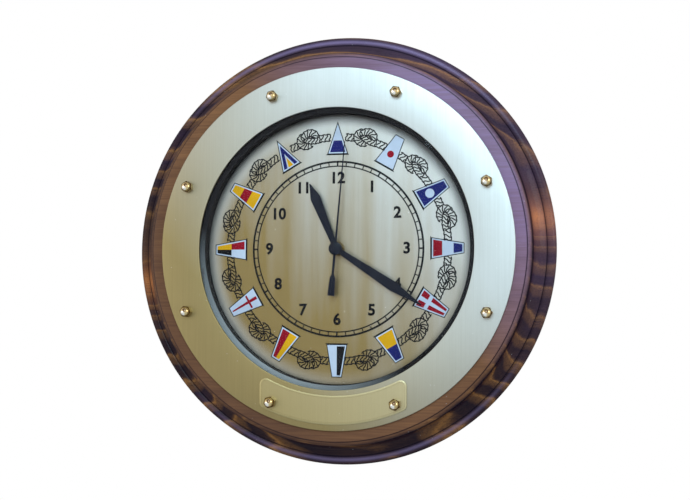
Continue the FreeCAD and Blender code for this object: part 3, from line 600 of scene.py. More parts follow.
def dust_and_haze(name):
    """Pale specks and a thin uneven haze: small round cells picked out by a threshold, over slow noise."""
    n, given, result = new_group(name, ("Specks", "Haze"), Specks=0.5)
    cells = n.add("TexVoronoi", {"Vector": n.place, "Scale": 330.0}).outputs
    near = n.math("LESS_THAN", cells["Distance"], 0.075)
    drawn = n.add("SeparateColor", {0: cells["Color"]}).outputs[0]
    picked = n.math("GREATER_THAN", drawn, n.line(given["Specks"], -0.3, 1.0))
    n.join(result, {"Specks": n.times(near, picked), "Haze": n.noise(24.0, 5.0, 0.62)})
    return n.tree


def fine_grain(name):
    """The fine grain of a moulded or cast surface: two noises of different size."""
    n, given, result = new_group(name, ("Height", "Patches"), Size=1.0)
    n.place = n.scaled(n.place, given["Size"])
    small, middle = n.noise(2600.0, 2.0), n.noise(700.0)
    n.join(result, {"Height": n.line(small, 0.6, n.times(middle, 0.4)), "Patches": n.noise(45.0, 4.0, 0.6)})
    return n.tree


def new_finish(name, **constants):
    """The nodes of an empty material, which read their place on the object."""
    material = bpy.data.materials.new(name)
    material.use_nodes = True
    n = Nodes(material.node_tree, material=material)
    n.place = n.add("TexCoord").outputs["Object"]
    n.join(n.shader, {key.replace("_", " "): constant for key, constant in constants.items()})
    return n


def dressed(n, tone, roughness, height, strength, reach):
    """Joins a colour, a roughness and a relief to the shader, and gives the finished material."""
    bump = n.add("Bump", {"Height": height, "Strength": strength, "Distance": reach}).outputs["Normal"]
    n.join(n.shader, {"Base Color": tone, "Roughness": roughness, "Normal": bump})
    return n.material


# Light late wood over one growth ring: place in the ring and level
LATE_WOOD = ((0.0, 0.25), (0.07, 0.04), (0.46, 0.0), (0.60, 0.30), (0.82, 0.45), (0.93, 1.0), (1.0, 0.25))


def pine_grain(n, pitch):
    """The grain of a pine board. Growth rings lie across it as near level sheets: the ring number is the height
    over the pitch, bent by slow noise and pulled round the knots by exp(-42 distance)."""
    pulls = [n.math("EXPONENT", n.times(n.distance(knot, (0.5, 1.0, 1.0)), -42.0)) for knot in KNOTS]
    pull = n.math("ADD", *pulls)
    rings = n.math("DIVIDE", n.parts[2], pitch)
    for bend, weight in ((n.parts[1], 26.0), (n.noise((3.0, 9.0, 8.0), 2.0), 5.6),
                         (n.noise((14.0, 60.0, 45.0)), 0.8), (pull, 3.2)):
        rings = n.line(bend, weight, rings)
    return types.SimpleNamespace(
        pull=pull,
        late=n.ramp(n.math("FRACT", rings), *LATE_WOOD),
        fibres=n.noise((26.0, 900.0, 900.0), 3.0, 0.6),
        pores=n.ramp(n.noise((60.0, 2200.0, 2200.0), 2.0), (0.30, 0.0), (0.42, 1.0)),
        patches=n.noise((7.0, 16.0, 16.0), 4.0, 0.6),
        radius=n.distance(),
        front=n.math("LESS_THAN", n.parts[1], -FRONT_FROM),
    )


def moulding_wood(n, grain, sizes):
    """Wood of the moulding: dark early wood, amber late wood, orange knots and dark pores."""
    fibres, patches = grain.fibres, grain.patches
    wood = n.mix(n.plane(fibres, 0.7, patches, 1.6, -0.75), sizes.dark_stain, sizes.brown_stain)
    wood = n.mix(n.ramp(patches, (0.5, 0.0), (0.68, 0.55)), wood, sizes.blue_cast)
    amber = n.times(grain.late, n.line(fibres, 0.8, 0.25), n.line(n.math("ABSOLUTE", n.parts[2]), 4.8, 0.5),
                    n.line(patches, 1.4, 0.2))
    wood = n.mix(amber, wood, sizes.amber_stain)
    wood = n.mix(n.times(n.math("POWER", grain.pull, 3.0), 1.5), wood, sizes.knot_stain)
    return n.mix(n.math("SUBTRACT", 1.0, grain.pores), wood, sizes.dark_stain)


def flat_face(n, wood, grain, sizes):
    """The flat face and the back: lighter, with painted shade at the lower left of the face. A purple painted
    reflection lies over the front, towards the top and right."""
    fibres, patches = grain.fibres, grain.patches
    outside = sizes.face_radius + sizes.ovolo_radius + 0.1 * MM
    face = n.between(grain.radius, outside, sizes.face_radius - 0.1 * MM)
    behind = n.math("GREATER_THAN", n.parts[1], -BACK_WITHIN)
    pale = n.mix(n.plane(fibres, 0.9, patches, 1.2, -0.45), sizes.brown_stain, sizes.face_stain)
    pale = n.mix(n.times(grain.late, 0.12), pale, sizes.dark_stain)
    # Painted shade: the face turns to the brown stain towards the lower left
    pale = n.mix(n.times(grain.front, n.toward(-1.8, -1.8, -0.06)), pale, sizes.brown_stain)
    wood = n.mix(n.math("MAXIMUM", face, behind), wood, pale)
    # Painted reflection: purple over the face, faintly over the moulding, towards the top and right
    sheen = n.times(n.line(face, 0.62, 0.10), grain.front, n.toward(6.4, 5.6, -0.25))
    return n.mix(n.times(sheen, n.plane(fibres, 1.1, patches, 1.3, -0.15)), wood, sizes.sheen)


def painted_well(n, wood, grain, sizes):
    """Painted shade in the well: near-black colour as far as its floor, with painted light on the glass seat at
    the lower left.
    """
    well = n.between(grain.radius, sizes.seat_radius + 0.5 * MM, sizes.seat_radius - 0.5 * MM)
    before_web = n.math("LESS_THAN", n.parts[1], sizes.web_thickness / 2 - node_back("dial_plate"))
    on_seat = n.math("GREATER_THAN", grain.radius, sizes.well_radius + 0.3 * MM)
    # Painted light on the seat at the lower left, painted shade elsewhere in the well
    paint = n.mix(n.times(on_seat, n.toward(-7.0, -10.0, -0.6)), sizes.well_paint, sizes.seat_sheen)
    return n.mix(n.times(well, before_web), wood, paint)


def worn_moulding(n, wood, grain, sizes):
    """A painted highlight lies along the bead at the top and bottom, and painted shade darkens the corners of the
    moulding.
    """
    # Painted highlight along the bead, at the top and bottom
    on_bead = n.times(n.peak(grain.radius, sizes.polish_line, sizes.polish_width), grain.front, 0.75)
    polished = n.math("MAXIMUM", n.toward(1.0, 14.0, -1.3), n.toward(1.0, -10.0, -1.0))
    wood = n.mix(n.times(on_bead, polished, n.line(grain.patches, 1.4, 0.3)), wood, sizes.bead_sheen)
    for corner in (sizes.face_radius + 0.2 * MM, sizes.face_radius + sizes.ovolo_radius, sizes.bead_corner):
        # Painted shade in the corners of the moulding
        stain = n.times(n.peak(grain.radius, corner, sizes.corner_width), grain.front, 0.85)
        wood = n.mix(stain, wood, sizes.dark_stain)
    return wood


def pine_finish():
    """Stained pine under gloss lacquer over one grain: moulding, flat face, the well's painted shade and light,
    and the moulding's painted highlight and corner shade.
    """
    sizes = bpy.context.scene.clock_case
    n = new_finish("Stained pine", Coat_Weight=0.14, Coat_Roughness=0.12, Specular_IOR_Level=0.0)
    grain = pine_grain(n, sizes.ring_pitch)
    wood = moulding_wood(n, grain, sizes)
    for step in (flat_face, painted_well, worn_moulding):
        wood = step(n, wood, grain, sizes)
    dust = n.effect(dust_and_haze, Specks=0.2)
    wood = n.mix(n.times(dust["Specks"], 0.6), wood, DUST)
    height = n.line(grain.pores, 0.5, n.line(grain.fibres, 0.3, grain.late))
    return dressed(n, wood, n.line(dust["Haze"], 0.25, 0.26), height, 0.12, 0.2 * MM)


def brushed_finish(name, light, old, roughness, bump=0.10, fineness=1.0, slope=3.4, start=0.42, streaks=0.0,
                   rim=None):
    """Brushed brass: upright brush lines change colour and roughness a little, and painted shade turns the light
    colour into the old, shaded one towards the lower left. With a rim, the painted shade stops near it at the
    left, and a painted shadow darkens the metal towards it."""
    n = new_finish(name, Metallic=1.0)
    brush = n.effect(brush_lines, Fineness=fineness)
    dust = n.effect(dust_and_haze, Specks=0.3)
    # Painted shade: the mask turns the light colour into the old, shaded one towards the lower left
    lacquer = n.effect(yellowed_lacquer, Slope=slope, Start=start, Bands=brush["Bands"], Streaks=streaks)
    yellowed = lacquer["Mask"]
    # Near the rim at the left, the painted shade gives way to the light colour
    if rim:
        far = n.distance(SHADOW_MIDDLE)
        grey = n.between(far, rim + GREY_REACH[0], rim + GREY_REACH[1], 0.85, "SMOOTHSTEP")
        grey = n.times(grey, n.toward(-7.0, 0.0, 0.4))
        yellowed = n.times(yellowed, n.math("SUBTRACT", 1.0, grey))
    metal = n.mix(yellowed, light, old)
    tone = n.plane(brush["Lines"], 0.45, dust["Haze"], 0.3, -0.275)
    metal = n.mix(tone, metal, BRUSH_SHADE, "MULTIPLY")
    metal = n.mix(n.times(dust["Specks"], 0.5), metal, BRASS_DUST)
    if rim:
        # Painted shadow: the dial darkens towards the well's rim
        dark = n.between(far, rim + SHADOW_REACH[0], rim + SHADOW_REACH[1], 0.86, "SMOOTHSTEP")
        metal = n.mix(dark, metal, DIAL_SHADOW)
    rough = n.plane(brush["Lines"], 0.22, dust["Haze"], 0.12, roughness - 0.17)
    return dressed(n, metal, rough, brush["Lines"], bump, 0.04 * MM)


def polished_finish(name, rgb, roughness, metallic=1.0, bump=0.04, size=1.0, spread=0.10, shade=0.62,
                    wear=None, **constants):
    """Metal, paint or plastic with faint marks: fine grain in the relief and patches in roughness and colour.
    The colour can be changed by a function before it is used, such as the nuts' painted reflections and old
    polish."""
    n = new_finish(name, Metallic=metallic, **constants)
    grain = n.effect(fine_grain, Size=size)
    dust = n.effect(dust_and_haze, Specks=0.25)
    tone = n.mix(n.ramp(grain["Patches"], (0.35, 0.0), (0.75, 0.8)), rgb, [shade * part for part in rgb])
    if wear:
        tone = wear(n, tone)
    rough = n.plane(grain["Patches"], spread * 2.0, dust["Specks"], 0.3, roughness - spread)
    return dressed(n, tone, rough, grain["Height"], bump, 0.1 * MM)


def nut_wear(n, metal):
    """The nuts' domes get a painted glare where they face down to the left and a painted dark reflection at the
    tip, and old polish is left in the corner between hexagon and dome."""
    brass = bpy.context.scene.clock_brass
    facing = n.add("NewGeometry").outputs["Normal"]
    # Painted glare and painted dark reflection, set by which way the surface faces
    marks = ((GLARE_AIM, GLARE_FACING, brass.nut_glare), (SHADE_AIM, SHADE_FACING, brass.nut_dark))
    for aim, reach, tone in marks:
        turned = n.vector("DOT_PRODUCT", facing, aim)
        metal = n.mix(n.between(turned, *reach, 0.95, "SMOOTHSTEP"), metal, tone)
    return n.mix(n.add("Attribute", attribute_name="crevice").outputs["Fac"], metal, OLD_POLISH)


def sleeve_finish():
    """The battery's printed sleeve: a copper-coloured band at the cap end, then a dark field, with scuffs."""
    colours = bpy.context.scene.clock_movement
    n = new_finish("Battery sleeve", Metallic=0.35, Coat_Weight=0.5, Coat_Roughness=0.15)
    low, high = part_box("battery")
    along = n.math("DIVIDE", n.math("SUBTRACT", n.parts[0], low.x), high.x - low.x)
    grain = n.effect(fine_grain, Size=1.0)
    tone = n.mix(n.math("GREATER_THAN", along, 0.70), colours.sleeve, colours.sleeve_end)
    tone = n.mix(n.ramp(grain["Patches"], (0.55, 0.0), (0.8, 0.3)), tone, SCUFF)
    return dressed(n, tone, n.line(grain["Patches"], 0.3, 0.15), grain["Height"], 0.03, 0.1 * MM)


def glass_finish():
    """Clear window glass; lamps shine through it as through air."""
    n = new_finish("Clock glass", Transmission_Weight=1.0, IOR=1.14, Base_Color=(0.975, 0.98, 0.98, 1.0))
    n.join(n.shader, {"Roughness": n.times(n.effect(dust_and_haze, Specks=0.2)["Specks"], 0.3)})
    clear = n.add("BsdfTransparent", {"Color": (0.95, 0.96, 0.96, 1.0)})
    path = n.add("LightPath").outputs
    passing = n.most(path["Is Diffuse Ray"], path["Is Glossy Ray"], path["Is Shadow Ray"])
    mixed = n.add("MixShader", {0: passing, 1: n.shader.outputs[0], 2: clear.outputs[0]}).outputs[0]
    n.join(n.tree.nodes["Material Output"], {"Surface": mixed})
    return n.material


def dial_brass():
    """The brushed dial brass, which the print leaves bare between its lines; made when it is first asked for."""
    brass = bpy.context.scene.clock_brass
    # Painted shade towards the lower left in streaks, and a painted shadow round the rim
    return bpy.data.materials.get("Dial brass") or brushed_finish(
        "Dial brass", brass.dial, brass.dial_old, 0.40, 0.05, 0.8, slope=4.6, start=0.58, streaks=1.2,
        rim=bpy.context.scene.clock_case.well_radius)


def ink(name):
    """One of the print's inks: screen-printed enamel, thick and even, with small pinholes and a soft sheen."""
    title = f"{name.capitalize()} ink"
    tint = getattr(bpy.context.scene.clock_print, name)
    return bpy.data.materials.get(title) or polished_finish(
        title, tint, 0.38, metallic=0.0, bump=0.05, size=0.8, spread=0.08, Specular_IOR_Level=0.08)


def dress(finish, *nodes):
    """Gives CAD nodes a finish in every material slot."""
    for node in nodes:
        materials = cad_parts[node].data.materials
        if not materials:
            materials.append(finish)
        for slot in range(len(materials)):
            materials[slot] = finish


def eased_copy(node, name, finish, width, body="clock"):
    """A copy of a CAD node: its points merged, its flat faces joined and its sharp edges eased by a bevel."""
    sharp = 30.0
    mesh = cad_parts[node].data.copy()
    mesh.name = name
    mended(mesh, join_flat=True)
    mesh.materials.clear()
    mesh.materials.append(finish)
    smoothed(mesh, sharp)
    made = linked(name, mesh)
    easing = made.modifiers.new("Eased edges", "BEVEL")
    easing.width = width
    easing.segments = 2
    easing.limit_method = "ANGLE"
    easing.angle_limit = math.radians(sharp)
    easing.harden_normals = True
    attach(made, body)
    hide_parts(node)


# The pieces

def case_profile():
    """The closed outline of the case, radius and height: over the face, down the glass seat, the well and the
    hole, out along the recess, up the foot, round the bead, the hollow and the quarter round."""
    sizes = bpy.context.scene.clock_case
    face = node_front("wood_case")
    rim = node_reach("wood_case") - sizes.rim_margin
    bead = (rim - sizes.bead_radius, sizes.bead_height)
    ovolo = (sizes.face_radius, face - sizes.face_step - sizes.ovolo_radius)
    cove = (ovolo[0] + sizes.ovolo_radius - sizes.cove_radius * math.cos(sizes.cove_top),
            ovolo[1] - sizes.cove_radius * math.sin(sizes.cove_top))
    cove_end = cove[0] + sizes.cove_radius * math.cos(sizes.cove_foot)
    bead_start = -math.acos((sizes.foot_radius - bead[0]) / sizes.bead_radius)
    bead_end = math.acos((cove_end - bead[0]) / sizes.bead_radius)
    well_floor = node_back("dial_plate")
    recess_floor = well_floor - sizes.web_thickness
    seat = face - sizes.seat_depth
    corners = [
        (sizes.face_radius, face), (sizes.seat_radius, face),
        (sizes.seat_radius, seat), (sizes.well_radius, seat),
        (sizes.well_radius, well_floor), (sizes.hole_radius, well_floor),
        (sizes.hole_radius, recess_floor), (sizes.recess_radius, recess_floor),
        (sizes.recess_radius, 0.0), (sizes.foot_radius, 0.0),
        (sizes.foot_radius, bead[1] + sizes.bead_radius * math.sin(bead_start)),
    ]
    # The two ends of the row of corners run on into the moulding, so half of their rounding is left out
    return np.concatenate([
        eased(corners, sizes.easing)[2:-2],
        arc(bead, sizes.bead_radius, bead_start, bead_end, 30),
        arc(cove, sizes.cove_radius, sizes.cove_foot, sizes.cove_top, 34),
        arc(ovolo, sizes.ovolo_radius, 0.0, math.pi / 2, 16),
    ])


def plate_pocket():
    """The outline and the depth of the pocket that the keyhole plate lies in."""
    low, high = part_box("hanger_plate")
    play = bpy.context.scene.clock_case.plate_play
    left, right, foot, top = low.x - play, high.x + play, low.z - play, high.z + play
    return np.array([[left, foot], [right, foot], [right, top], [left, top]]), -low.y


def keyhole_pocket():
    """The outline and the depth of the pocket for a screw's head: a half circle below and one above."""
    low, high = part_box("hanger_plate")
    sizes = bpy.context.scene.clock_case
    base = (low.z + high.z) / 2 - sizes.pocket_drop
    foot = arc((0.0, base), sizes.pocket_radius, math.pi, 2.0 * math.pi, 17)
    top = arc((0.0, base + sizes.pocket_rise), sizes.pocket_radius, 0.0, math.pi, 17)
    return np.concatenate([foot, top]), -low.y + sizes.pocket_depth


def cutter(name, outline, depth):
    """A straight prism from behind the wall to a depth in the wood, closed at both ends."""
    ring = lifted([outline] * 2, (-bpy.context.scene.clock_case.overrun, depth))
    count = len(outline)
    faces = grid_faces(2, count, 0, True).tolist() + [list(range(count))[::-1], list(range(count, 2 * count))]
    mesh = bpy.data.meshes.new(name)
    mesh.from_pydata(ring.reshape(-1, 3).tolist(), [], faces)
    mended(mesh, outward=True)
    return linked(name, mesh)


def cut_out(made, tools):
    """Cuts tools out of a piece for good and takes them away."""
    for tool in tools:
        cut = made.modifiers.new(tool.name, "BOOLEAN")
        cut.object, cut.operation, cut.solver = tool, "DIFFERENCE", "EXACT"
    view = bpy.context.evaluated_depsgraph_get()
    whole = bpy.data.meshes.new_from_object(
        made.evaluated_get(view), preserve_all_data_layers=True, depsgraph=view)
    made.modifiers.clear()
    made.data = whole
    for tool in tools:
        bpy.data.objects.remove(tool)


class CLOCK_OT_case(bpy.types.Operator):
    """Turns the wooden case from its moulding and lets the keyhole plate into its back"""

    bl_idname = "clock.turned_case"
    bl_label = "Turned case"

    def execute(self, context):
        made = new_piece("turned_case", [turned_grid(case_profile())], [pine_finish()], closed=True)
        cut_out(made, [cutter("plate_pocket", *plate_pocket()), cutter("keyhole_pocket", *keyhole_pocket())])
        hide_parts("wood_case")
        return {"FINISHED"}


class CLOCK_OT_ring(bpy.types.Operator):
    """Turns the flat brass ring with eased edges"""

    bl_idname = "clock.brass_ring"
    bl_label = "Brass ring"

    def execute(self, context):
        brass = context.scene.clock_brass
        back, front = node_back("bezel_ring"), node_front("bezel_ring")
        inner, outer = brass.ring_inner, node_reach("bezel_ring")
        profile = eased([(inner, back), (outer, back), (outer, front), (inner, front)], brass.ring_easing, 5)
        # Lit and shaded colours of the ring's painted shade towards the lower left
        finish = brushed_finish("Brushed ring brass", brass.ring, brass.ring_old, 0.42)
        made = new_piece("brass_ring", [turned_grid(profile)], [finish], closed=True)
        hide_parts("bezel_ring")
        return {"FINISHED"}


# Half the length of the line along the nameplate's middle
SPINE_HALF = 50.0 * MM


def plate_outline(inset, steps=12):
    """The nameplate's outline drawn in by an inset: two arcs about the clock's axis, joined by upright ends,
    with round corners. Each corner's circle touches an end and an arc, so its middle follows from both."""
    brass = bpy.context.scene.clock_brass
    outer, inner, corner = brass.plate_outer - inset, brass.plate_inner + inset, brass.plate_corner - inset
    middle_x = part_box("nameplate")[1].x - inset - corner
    outer_z = -math.sqrt((outer - corner) ** 2 - middle_x ** 2)
    inner_z = -math.sqrt((inner + corner) ** 2 - middle_x ** 2)
    outer_turn, inner_turn = math.atan2(outer_z, middle_x), math.atan2(-inner_z, -middle_x)
    right = np.concatenate([
        arc((0.0, 0.0), outer, -math.pi / 2, outer_turn, 40)[:-1],
        arc((middle_x, outer_z), corner, outer_turn, 0.0, steps),
        arc((middle_x, inner_z), corner, 0.0, inner_turn, steps),
        arc((0.0, 0.0), inner, inner_turn - math.pi, -math.pi / 2, 40)[1:],
    ])
    left = right[::-1][1:-1] * (-1.0, 1.0)
    return np.concatenate([right, left])


def plate_grid():
    """The nameplate's surface: its outline carried up over the eased edge, across the face and through the
    engraved line, and closed at the back and the front along the plate's middle line."""
    brass = bpy.context.scene.clock_brass
    back, front = node_back("nameplate"), node_front("nameplate")
    ease, line, wall = brass.plate_easing, brass.border_inset, brass.border_wall
    floor, bevel = front - brass.border_depth, 0.3 * ease
    rows = [(0.0, back), (0.0, front - ease), (bevel, front - bevel), (ease, front), (line, front),
            (line + wall, floor), (line + 3 * wall, floor), (line + 4 * wall, front)]
    outlines = [plate_outline(inset) for inset, height in rows]
    spine_radius = (brass.plate_outer + brass.plate_inner) / 2
    spine_x = np.clip(outlines[-1][:, 0], -SPINE_HALF, SPINE_HALF)
    spine = np.stack([spine_x, -np.sqrt(spine_radius ** 2 - spine_x ** 2)], -1)
    return lifted([spine, *outlines, spine], [back, *(height for inset, height in rows), front])


class CLOCK_OT_nameplate(bpy.types.Operator):
    """Makes the bare nameplate with eased edges and a thin engraved border line"""

    bl_idname = "clock.nameplate"
    bl_label = "Nameplate"

    def execute(self, context):
        brass = context.scene.clock_brass
        # Lit and shaded colours of the plate's painted shade towards the lower left
        finish = brushed_finish(
            "Nameplate brass", brass.plate, brass.plate_old, 0.38, 0.05, 0.8, slope=6.0, start=-0.3)
        made = new_piece("bare_nameplate", [plate_grid()], [finish], closed=True, smooth=40.0)
        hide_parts("nameplate")
        return {"FINISHED"}


# Heights of a nut's rows from the foot to the neck, over the hexagon's height; the chamfer's circle over half the
# width across flats, and the foot of the neck over the dome's radius
NUT_LEVELS = (0.0, 0.0, 0.10, 0.88, 0.99, 1.0, 1.02)
NUT_CHAMFER = 1.045
NECK_FLARE = 1.03


def nut_grid(base, turn):
    """An acorn nut: radius against height, where the hexagon's radius is half its width over cos of the angle to
    the nearest flat, cut by the chamfer, and the dome above is a half circle on a short neck."""
    brass = bpy.context.scene.clock_brass
    wide, high, dome = brass.nut_half, brass.nut_height, brass.dome_radius
    around = np.linspace(0.0, 2.0 * np.pi, 48, endpoint=False)
    flat = np.abs((around + np.pi / 6) % (np.pi / 3) - np.pi / 6)
    hexagon = wide / np.cos(flat)
    chamfer = np.minimum(hexagon, NUT_CHAMFER * wide)
    neck = np.full_like(around, dome)
    up = np.linspace(0.0, np.pi / 2, 12)[1:, None]
    rows = [0.0 * around, chamfer, hexagon, hexagon, chamfer, neck * NECK_FLARE, neck]
    levels = np.array(NUT_LEVELS)[:, None] * high
    radius = np.concatenate([np.stack(rows), np.cos(up) * neck])
    level = np.concatenate([levels, levels[-1] + np.sin(up) * (high + dome - levels[-1])])
    radius[-1] = 0.0
    spun = around + turn
    return np.stack([radius * np.cos(spun), -(base + level) + 0.0 * spun, radius * np.sin(spun)], -1)


def mark_crevice(made, base):
    """An attribute that is 1 in the corner above the hexagon and high at its foot, and falls off as
    exp(-(h/spread)^2)."""
    brass = bpy.context.scene.clock_brass
    mesh = made.data
    places = np.empty(len(mesh.vertices) * 3, np.float32)
    mesh.vertices.foreach_get("co", places)
    height = -places.reshape(-1, 3)[:, 1] - base
    soil = (np.exp(-((height - brass.soil_height) / brass.soil_spread) ** 2)
            + 0.7 * np.exp(-(height / brass.soil_spread) ** 2))
    mark = mesh.attributes.new("crevice", "FLOAT", "POINT")
    mark.data.foreach_set("value", np.clip(soil, 0.0, 1.0).astype(np.float32))


class CLOCK_OT_nuts(bpy.types.Operator):
    """Makes the eight acorn nuts with chamfered hexagon and polished dome"""

    bl_idname = "clock.acorn_nuts"
    bl_label = "Acorn nuts"

    def execute(self, context):
        brass = context.scene.clock_brass
        finish = polished_finish("Polished nut brass", brass.nut, 0.10, bump=0.03, spread=0.05, wear=nut_wear)
        count, turn_step = 8, 0.37
        for nut in range(count):
            direction = 2.0 * math.pi * (nut + 0.5) / count
            on_plate = abs(nut + 0.5 - 0.75 * count) < 1.0
            base = node_front("nameplate" if on_plate else "bezel_ring")
            middle = np.array([math.cos(direction), 0.0, math.sin(direction)]) * brass.bolt_circle
            made = new_piece(f"acorn_nut_{nut + 1}", [nut_grid(base, turn_step * nut) + middle], [finish],
                             closed=True, smooth=28.0)
            mark_crevice(made, base)
            if nut == 0:
                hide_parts("acorn_bolts")
        return {"FINISHED"}


class CLOCK_OT_glass(bpy.types.Operator):
    """Glazes the case"""

    bl_idname = "clock.glass"
    bl_label = "Glass"

    def execute(self, context):
        dress(glass_finish(), "glass")
        return {"FINISHED"}


class CLOCK_OT_dial(bpy.types.Operator):
    """Finishes the dial plate"""

    bl_idname = "clock.dial"
    bl_label = "Dial plate"

    def execute(self, context):
        dress(dial_brass(), "dial_plate")
        return {"FINISHED"}


class CLOCK_OT_track(bpy.types.Operator):
    """Prints the minute track: two rings and sixty marks, each fifth one broader"""

    bl_idname = "clock.minute_track"
    bl_label = "Minute track"

    def execute(self, context):
        sizes = context.scene.clock_print
        inner = sizes.track_inner + sizes.inner_line
        outer = sizes.track_outer - sizes.outer_line
        figures = [(band(sizes.track_inner, inner), 0, 0), (band(outer, sizes.track_outer), 0, 0)]
        for minute in range(60):
            width = sizes.minute_mark if minute % 5 else sizes.five_mark
            spread = width / (inner + outer)
            direction = 2.0 * math.pi * minute / 60
            ends = (direction - spread, direction + spread)
            figures.append((band(inner - sizes.mark_overlap, outer + sizes.mark_overlap, *ends, 3), 1, 0))
        print_piece("minute_track", figures, [ink("black")])
        return {"FINISHED"}


def numeral(hour):
    """The flat mesh of one hour's numeral, stood upright in its place on the dial."""
    sizes = bpy.context.scene.clock_print
    text = bpy.data.curves.new(f"hour_{hour}", "FONT")
    text.body = str(hour)
    text.align_x, text.align_y = "CENTER", "CENTER"
    text.size, text.offset, text.resolution_u = sizes.numeral_size, sizes.numeral_weight, 4
    holder = linked(f"hour_{hour}", text)
    figure = bpy.data.meshes.new_from_object(holder.evaluated_get(bpy.context.evaluated_depsgraph_get()))
    bpy.data.objects.remove(holder)
    bpy.data.curves.remove(text)
    direction = HOUR_TURN * hour
    middle = Vector((math.sin(direction), 0.0, math.cos(direction))) * sizes.numeral_radius
    middle.y = -layer_front(0)
    figure.transform(Matrix.Translation(middle) @ Matrix.Rotation(math.pi / 2, 4, "X"))
    return figure


class CLOCK_OT_numerals(bpy.types.Operator):
    """Prints the hour numerals inside the minute track"""

    bl_idname = "clock.numerals"
    bl_label = "Hour numerals"

    def execute(self, context):
        work = bmesh.new()
        for hour in range(1, HOURS + 1):
            figure = numeral(hour)
            work.from_mesh(figure)
            bpy.data.meshes.remove(figure)
        mesh = bpy.data.meshes.new("hour_numerals")
        work.to_mesh(mesh)
        work.free()
        mended(mesh)
        mesh.materials.append(ink("black"))
        made = linked("hour_numerals", mesh)
        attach(made, "clock")
        inked(made)
        return {"FINISHED"}


# Colour fields of the pennants with a cut end, by hour: from and to which share of the length, from and to which
# share of the half width, the layer and the ink
FIELDS = {
    2: ((0, 1, -1, 1, 2, "navy"),),
    3: ((0, 0.31, -1, 1, 2, "red"), (0.70, 1, -1, 1, 2, "navy")),
    4: ((0, 0.27, -1, -0.26, 2, "red"), (0, 0.27, 0.26, 1, 2, "red"),
        (0.40, 1, -1, -0.30, 2, "red"), (0.40, 1, 0.30, 1, 2, "red")),
    5: ((0, 0.51, -1, 1, 2, "yellow"), (0.51, 1, -1, 1, 2, "navy")),
    6: ((0, 1, -1, 0, 2, "black"),),
    7: ((0, 1, -1, 0, 2, "yellow"), (0, 1, 0, 1, 2, "red")),
    8: ((0, 1, -0.20, 0.20, 2, "red"), (0.28, 0.35, -1, 1, 3, "red")),
    9: ((0, 0.48, 0, 1, 2, "red"), (0.48, 1, -1, 0, 2, "black"), (0.48, 1, 0, 1, 2, "yellow")),
    10: ((0, 0.33, -1, 1, 2, "yellow"), (0.33, 0.64, -1, 1, 2, "red"), (0.64, 1, -1, 1, 2, "yellow")),
}
# Round spots by hour: radius, layer and ink
SPOTS = {1: (2.8 * MM, 2, "red"), 2: (3.7 * MM, 3, "white")}
# Wedges inside the blue triangle of eleven: half width, height, layer and ink
WEDGES = ((3.3 * MM, 11.6 * MM, 3, "white"), (2.3 * MM, 8.4 * MM, 4, "yellow"))


def field(low, high, left, right, margin):
    """A part of a pennant between two shares of its length and two shares of its width, inside a margin all
    round. The half width falls evenly from the broad end to the narrow one."""
    sizes = bpy.context.scene.clock_print
    reach = sizes.pennant_tip - sizes.pennant_base
    out = np.array([[low], [high]]) * (reach - 2 * margin) + margin
    half = sizes.base_half + (sizes.tip_half - sizes.base_half) * out / reach - margin
    across = np.array([[left, right]]) * half
    return np.stack([across, out + 0.0 * across], -1)


def wedge(low, high, half, base, apex):
    """A part of a triangle between two shares of its height; the half width falls to nothing at the apex."""
    share = np.array([[low], [high]])
    across = np.array([[-1.0, 1.0]]) * half * (1.0 - share)
    return np.stack([across, base + share * (apex - base) + 0.0 * across], -1)


def triangle(low, high, margin):
    """A part of a pointed pennant between two shares of its height, inside a margin all round: the base rises by
    the margin and each slanting side moves in square to itself."""
    sizes = bpy.context.scene.clock_print
    reach = sizes.pennant_tip - sizes.pennant_base
    slope = sizes.base_half / reach
    half = sizes.base_half * (1 - margin / reach) - margin * math.sqrt(1 + slope * slope)
    return wedge(low, high, half, margin, margin + half / slope)


def pennant(hour):
    """The figures of one hour's pennant, drawn upright with the broad end below: outline, border, fields."""
    sizes = bpy.context.scene.clock_print
    edge = sizes.outline + sizes.border
    bar = np.array([[[-1.0, 0.0], [1.0, 0.0]], [[-1.0, -1.0], [1.0, -1.0]]])
    bar *= (sizes.base_bar_half, sizes.base_bar)
    figures = [(bar, 0, "black")]
    if hour in (11, 12):
        figures += [(triangle(0, 1, 0.0), 0, "black"), (triangle(0, 1, sizes.outline), 1, "white"),
                    (triangle(0, 0.48 if hour == 12 else 1, edge), 2, "navy")]
        if hour == 11:
            figures += [(wedge(0, 1, half, edge, edge + high), layer, tint)
                        for half, high, layer, tint in WEDGES]
    else:
        figures += [(field(0, 1, -1, 1, 0.0), 0, "black"), (field(0, 1, -1, 1, sizes.outline), 1, "white")]
        figures += [(field(*shares, edge), layer, tint) for *shares, layer, tint in FIELDS.get(hour, ())]
    if hour in SPOTS:
        radius, layer, tint = SPOTS[hour]
        figures.append((band(0.02 * radius, radius, steps=33) + (0.0, sizes.spot_height), layer, tint))
    return [(points, layer, INKS.index(tint)) for points, layer, tint in figures]


class CLOCK_OT_pennants(bpy.types.Operator):
    """Prints a signal pennant at each hour"""

    bl_idname = "clock.pennants"
    bl_label = "Pennants"

    def execute(self, context):
        base = context.scene.clock_print.pennant_base
        inks = [ink(name) for name in INKS]
        for hour in range(1, HOURS + 1):
            print_piece(f"pennant_{hour}", at_clock(pennant(hour), HOUR_TURN * hour, base), inks)
        return {"FINISHED"}


def across_path(path, way, aside):
    """Points at a way along a path and a distance aside from it, read off between the path's own points."""
    along = np.concatenate([[0.0], np.cumsum(np.linalg.norm(np.diff(path, axis=0), axis=1))])
    columns = (*path.T, *square_to(path).T)
    x, z, side_x, side_z = (np.interp(way * along[-1], along, column) for column in columns)
    return np.stack([x + side_x * aside, z + side_z * aside], -1)


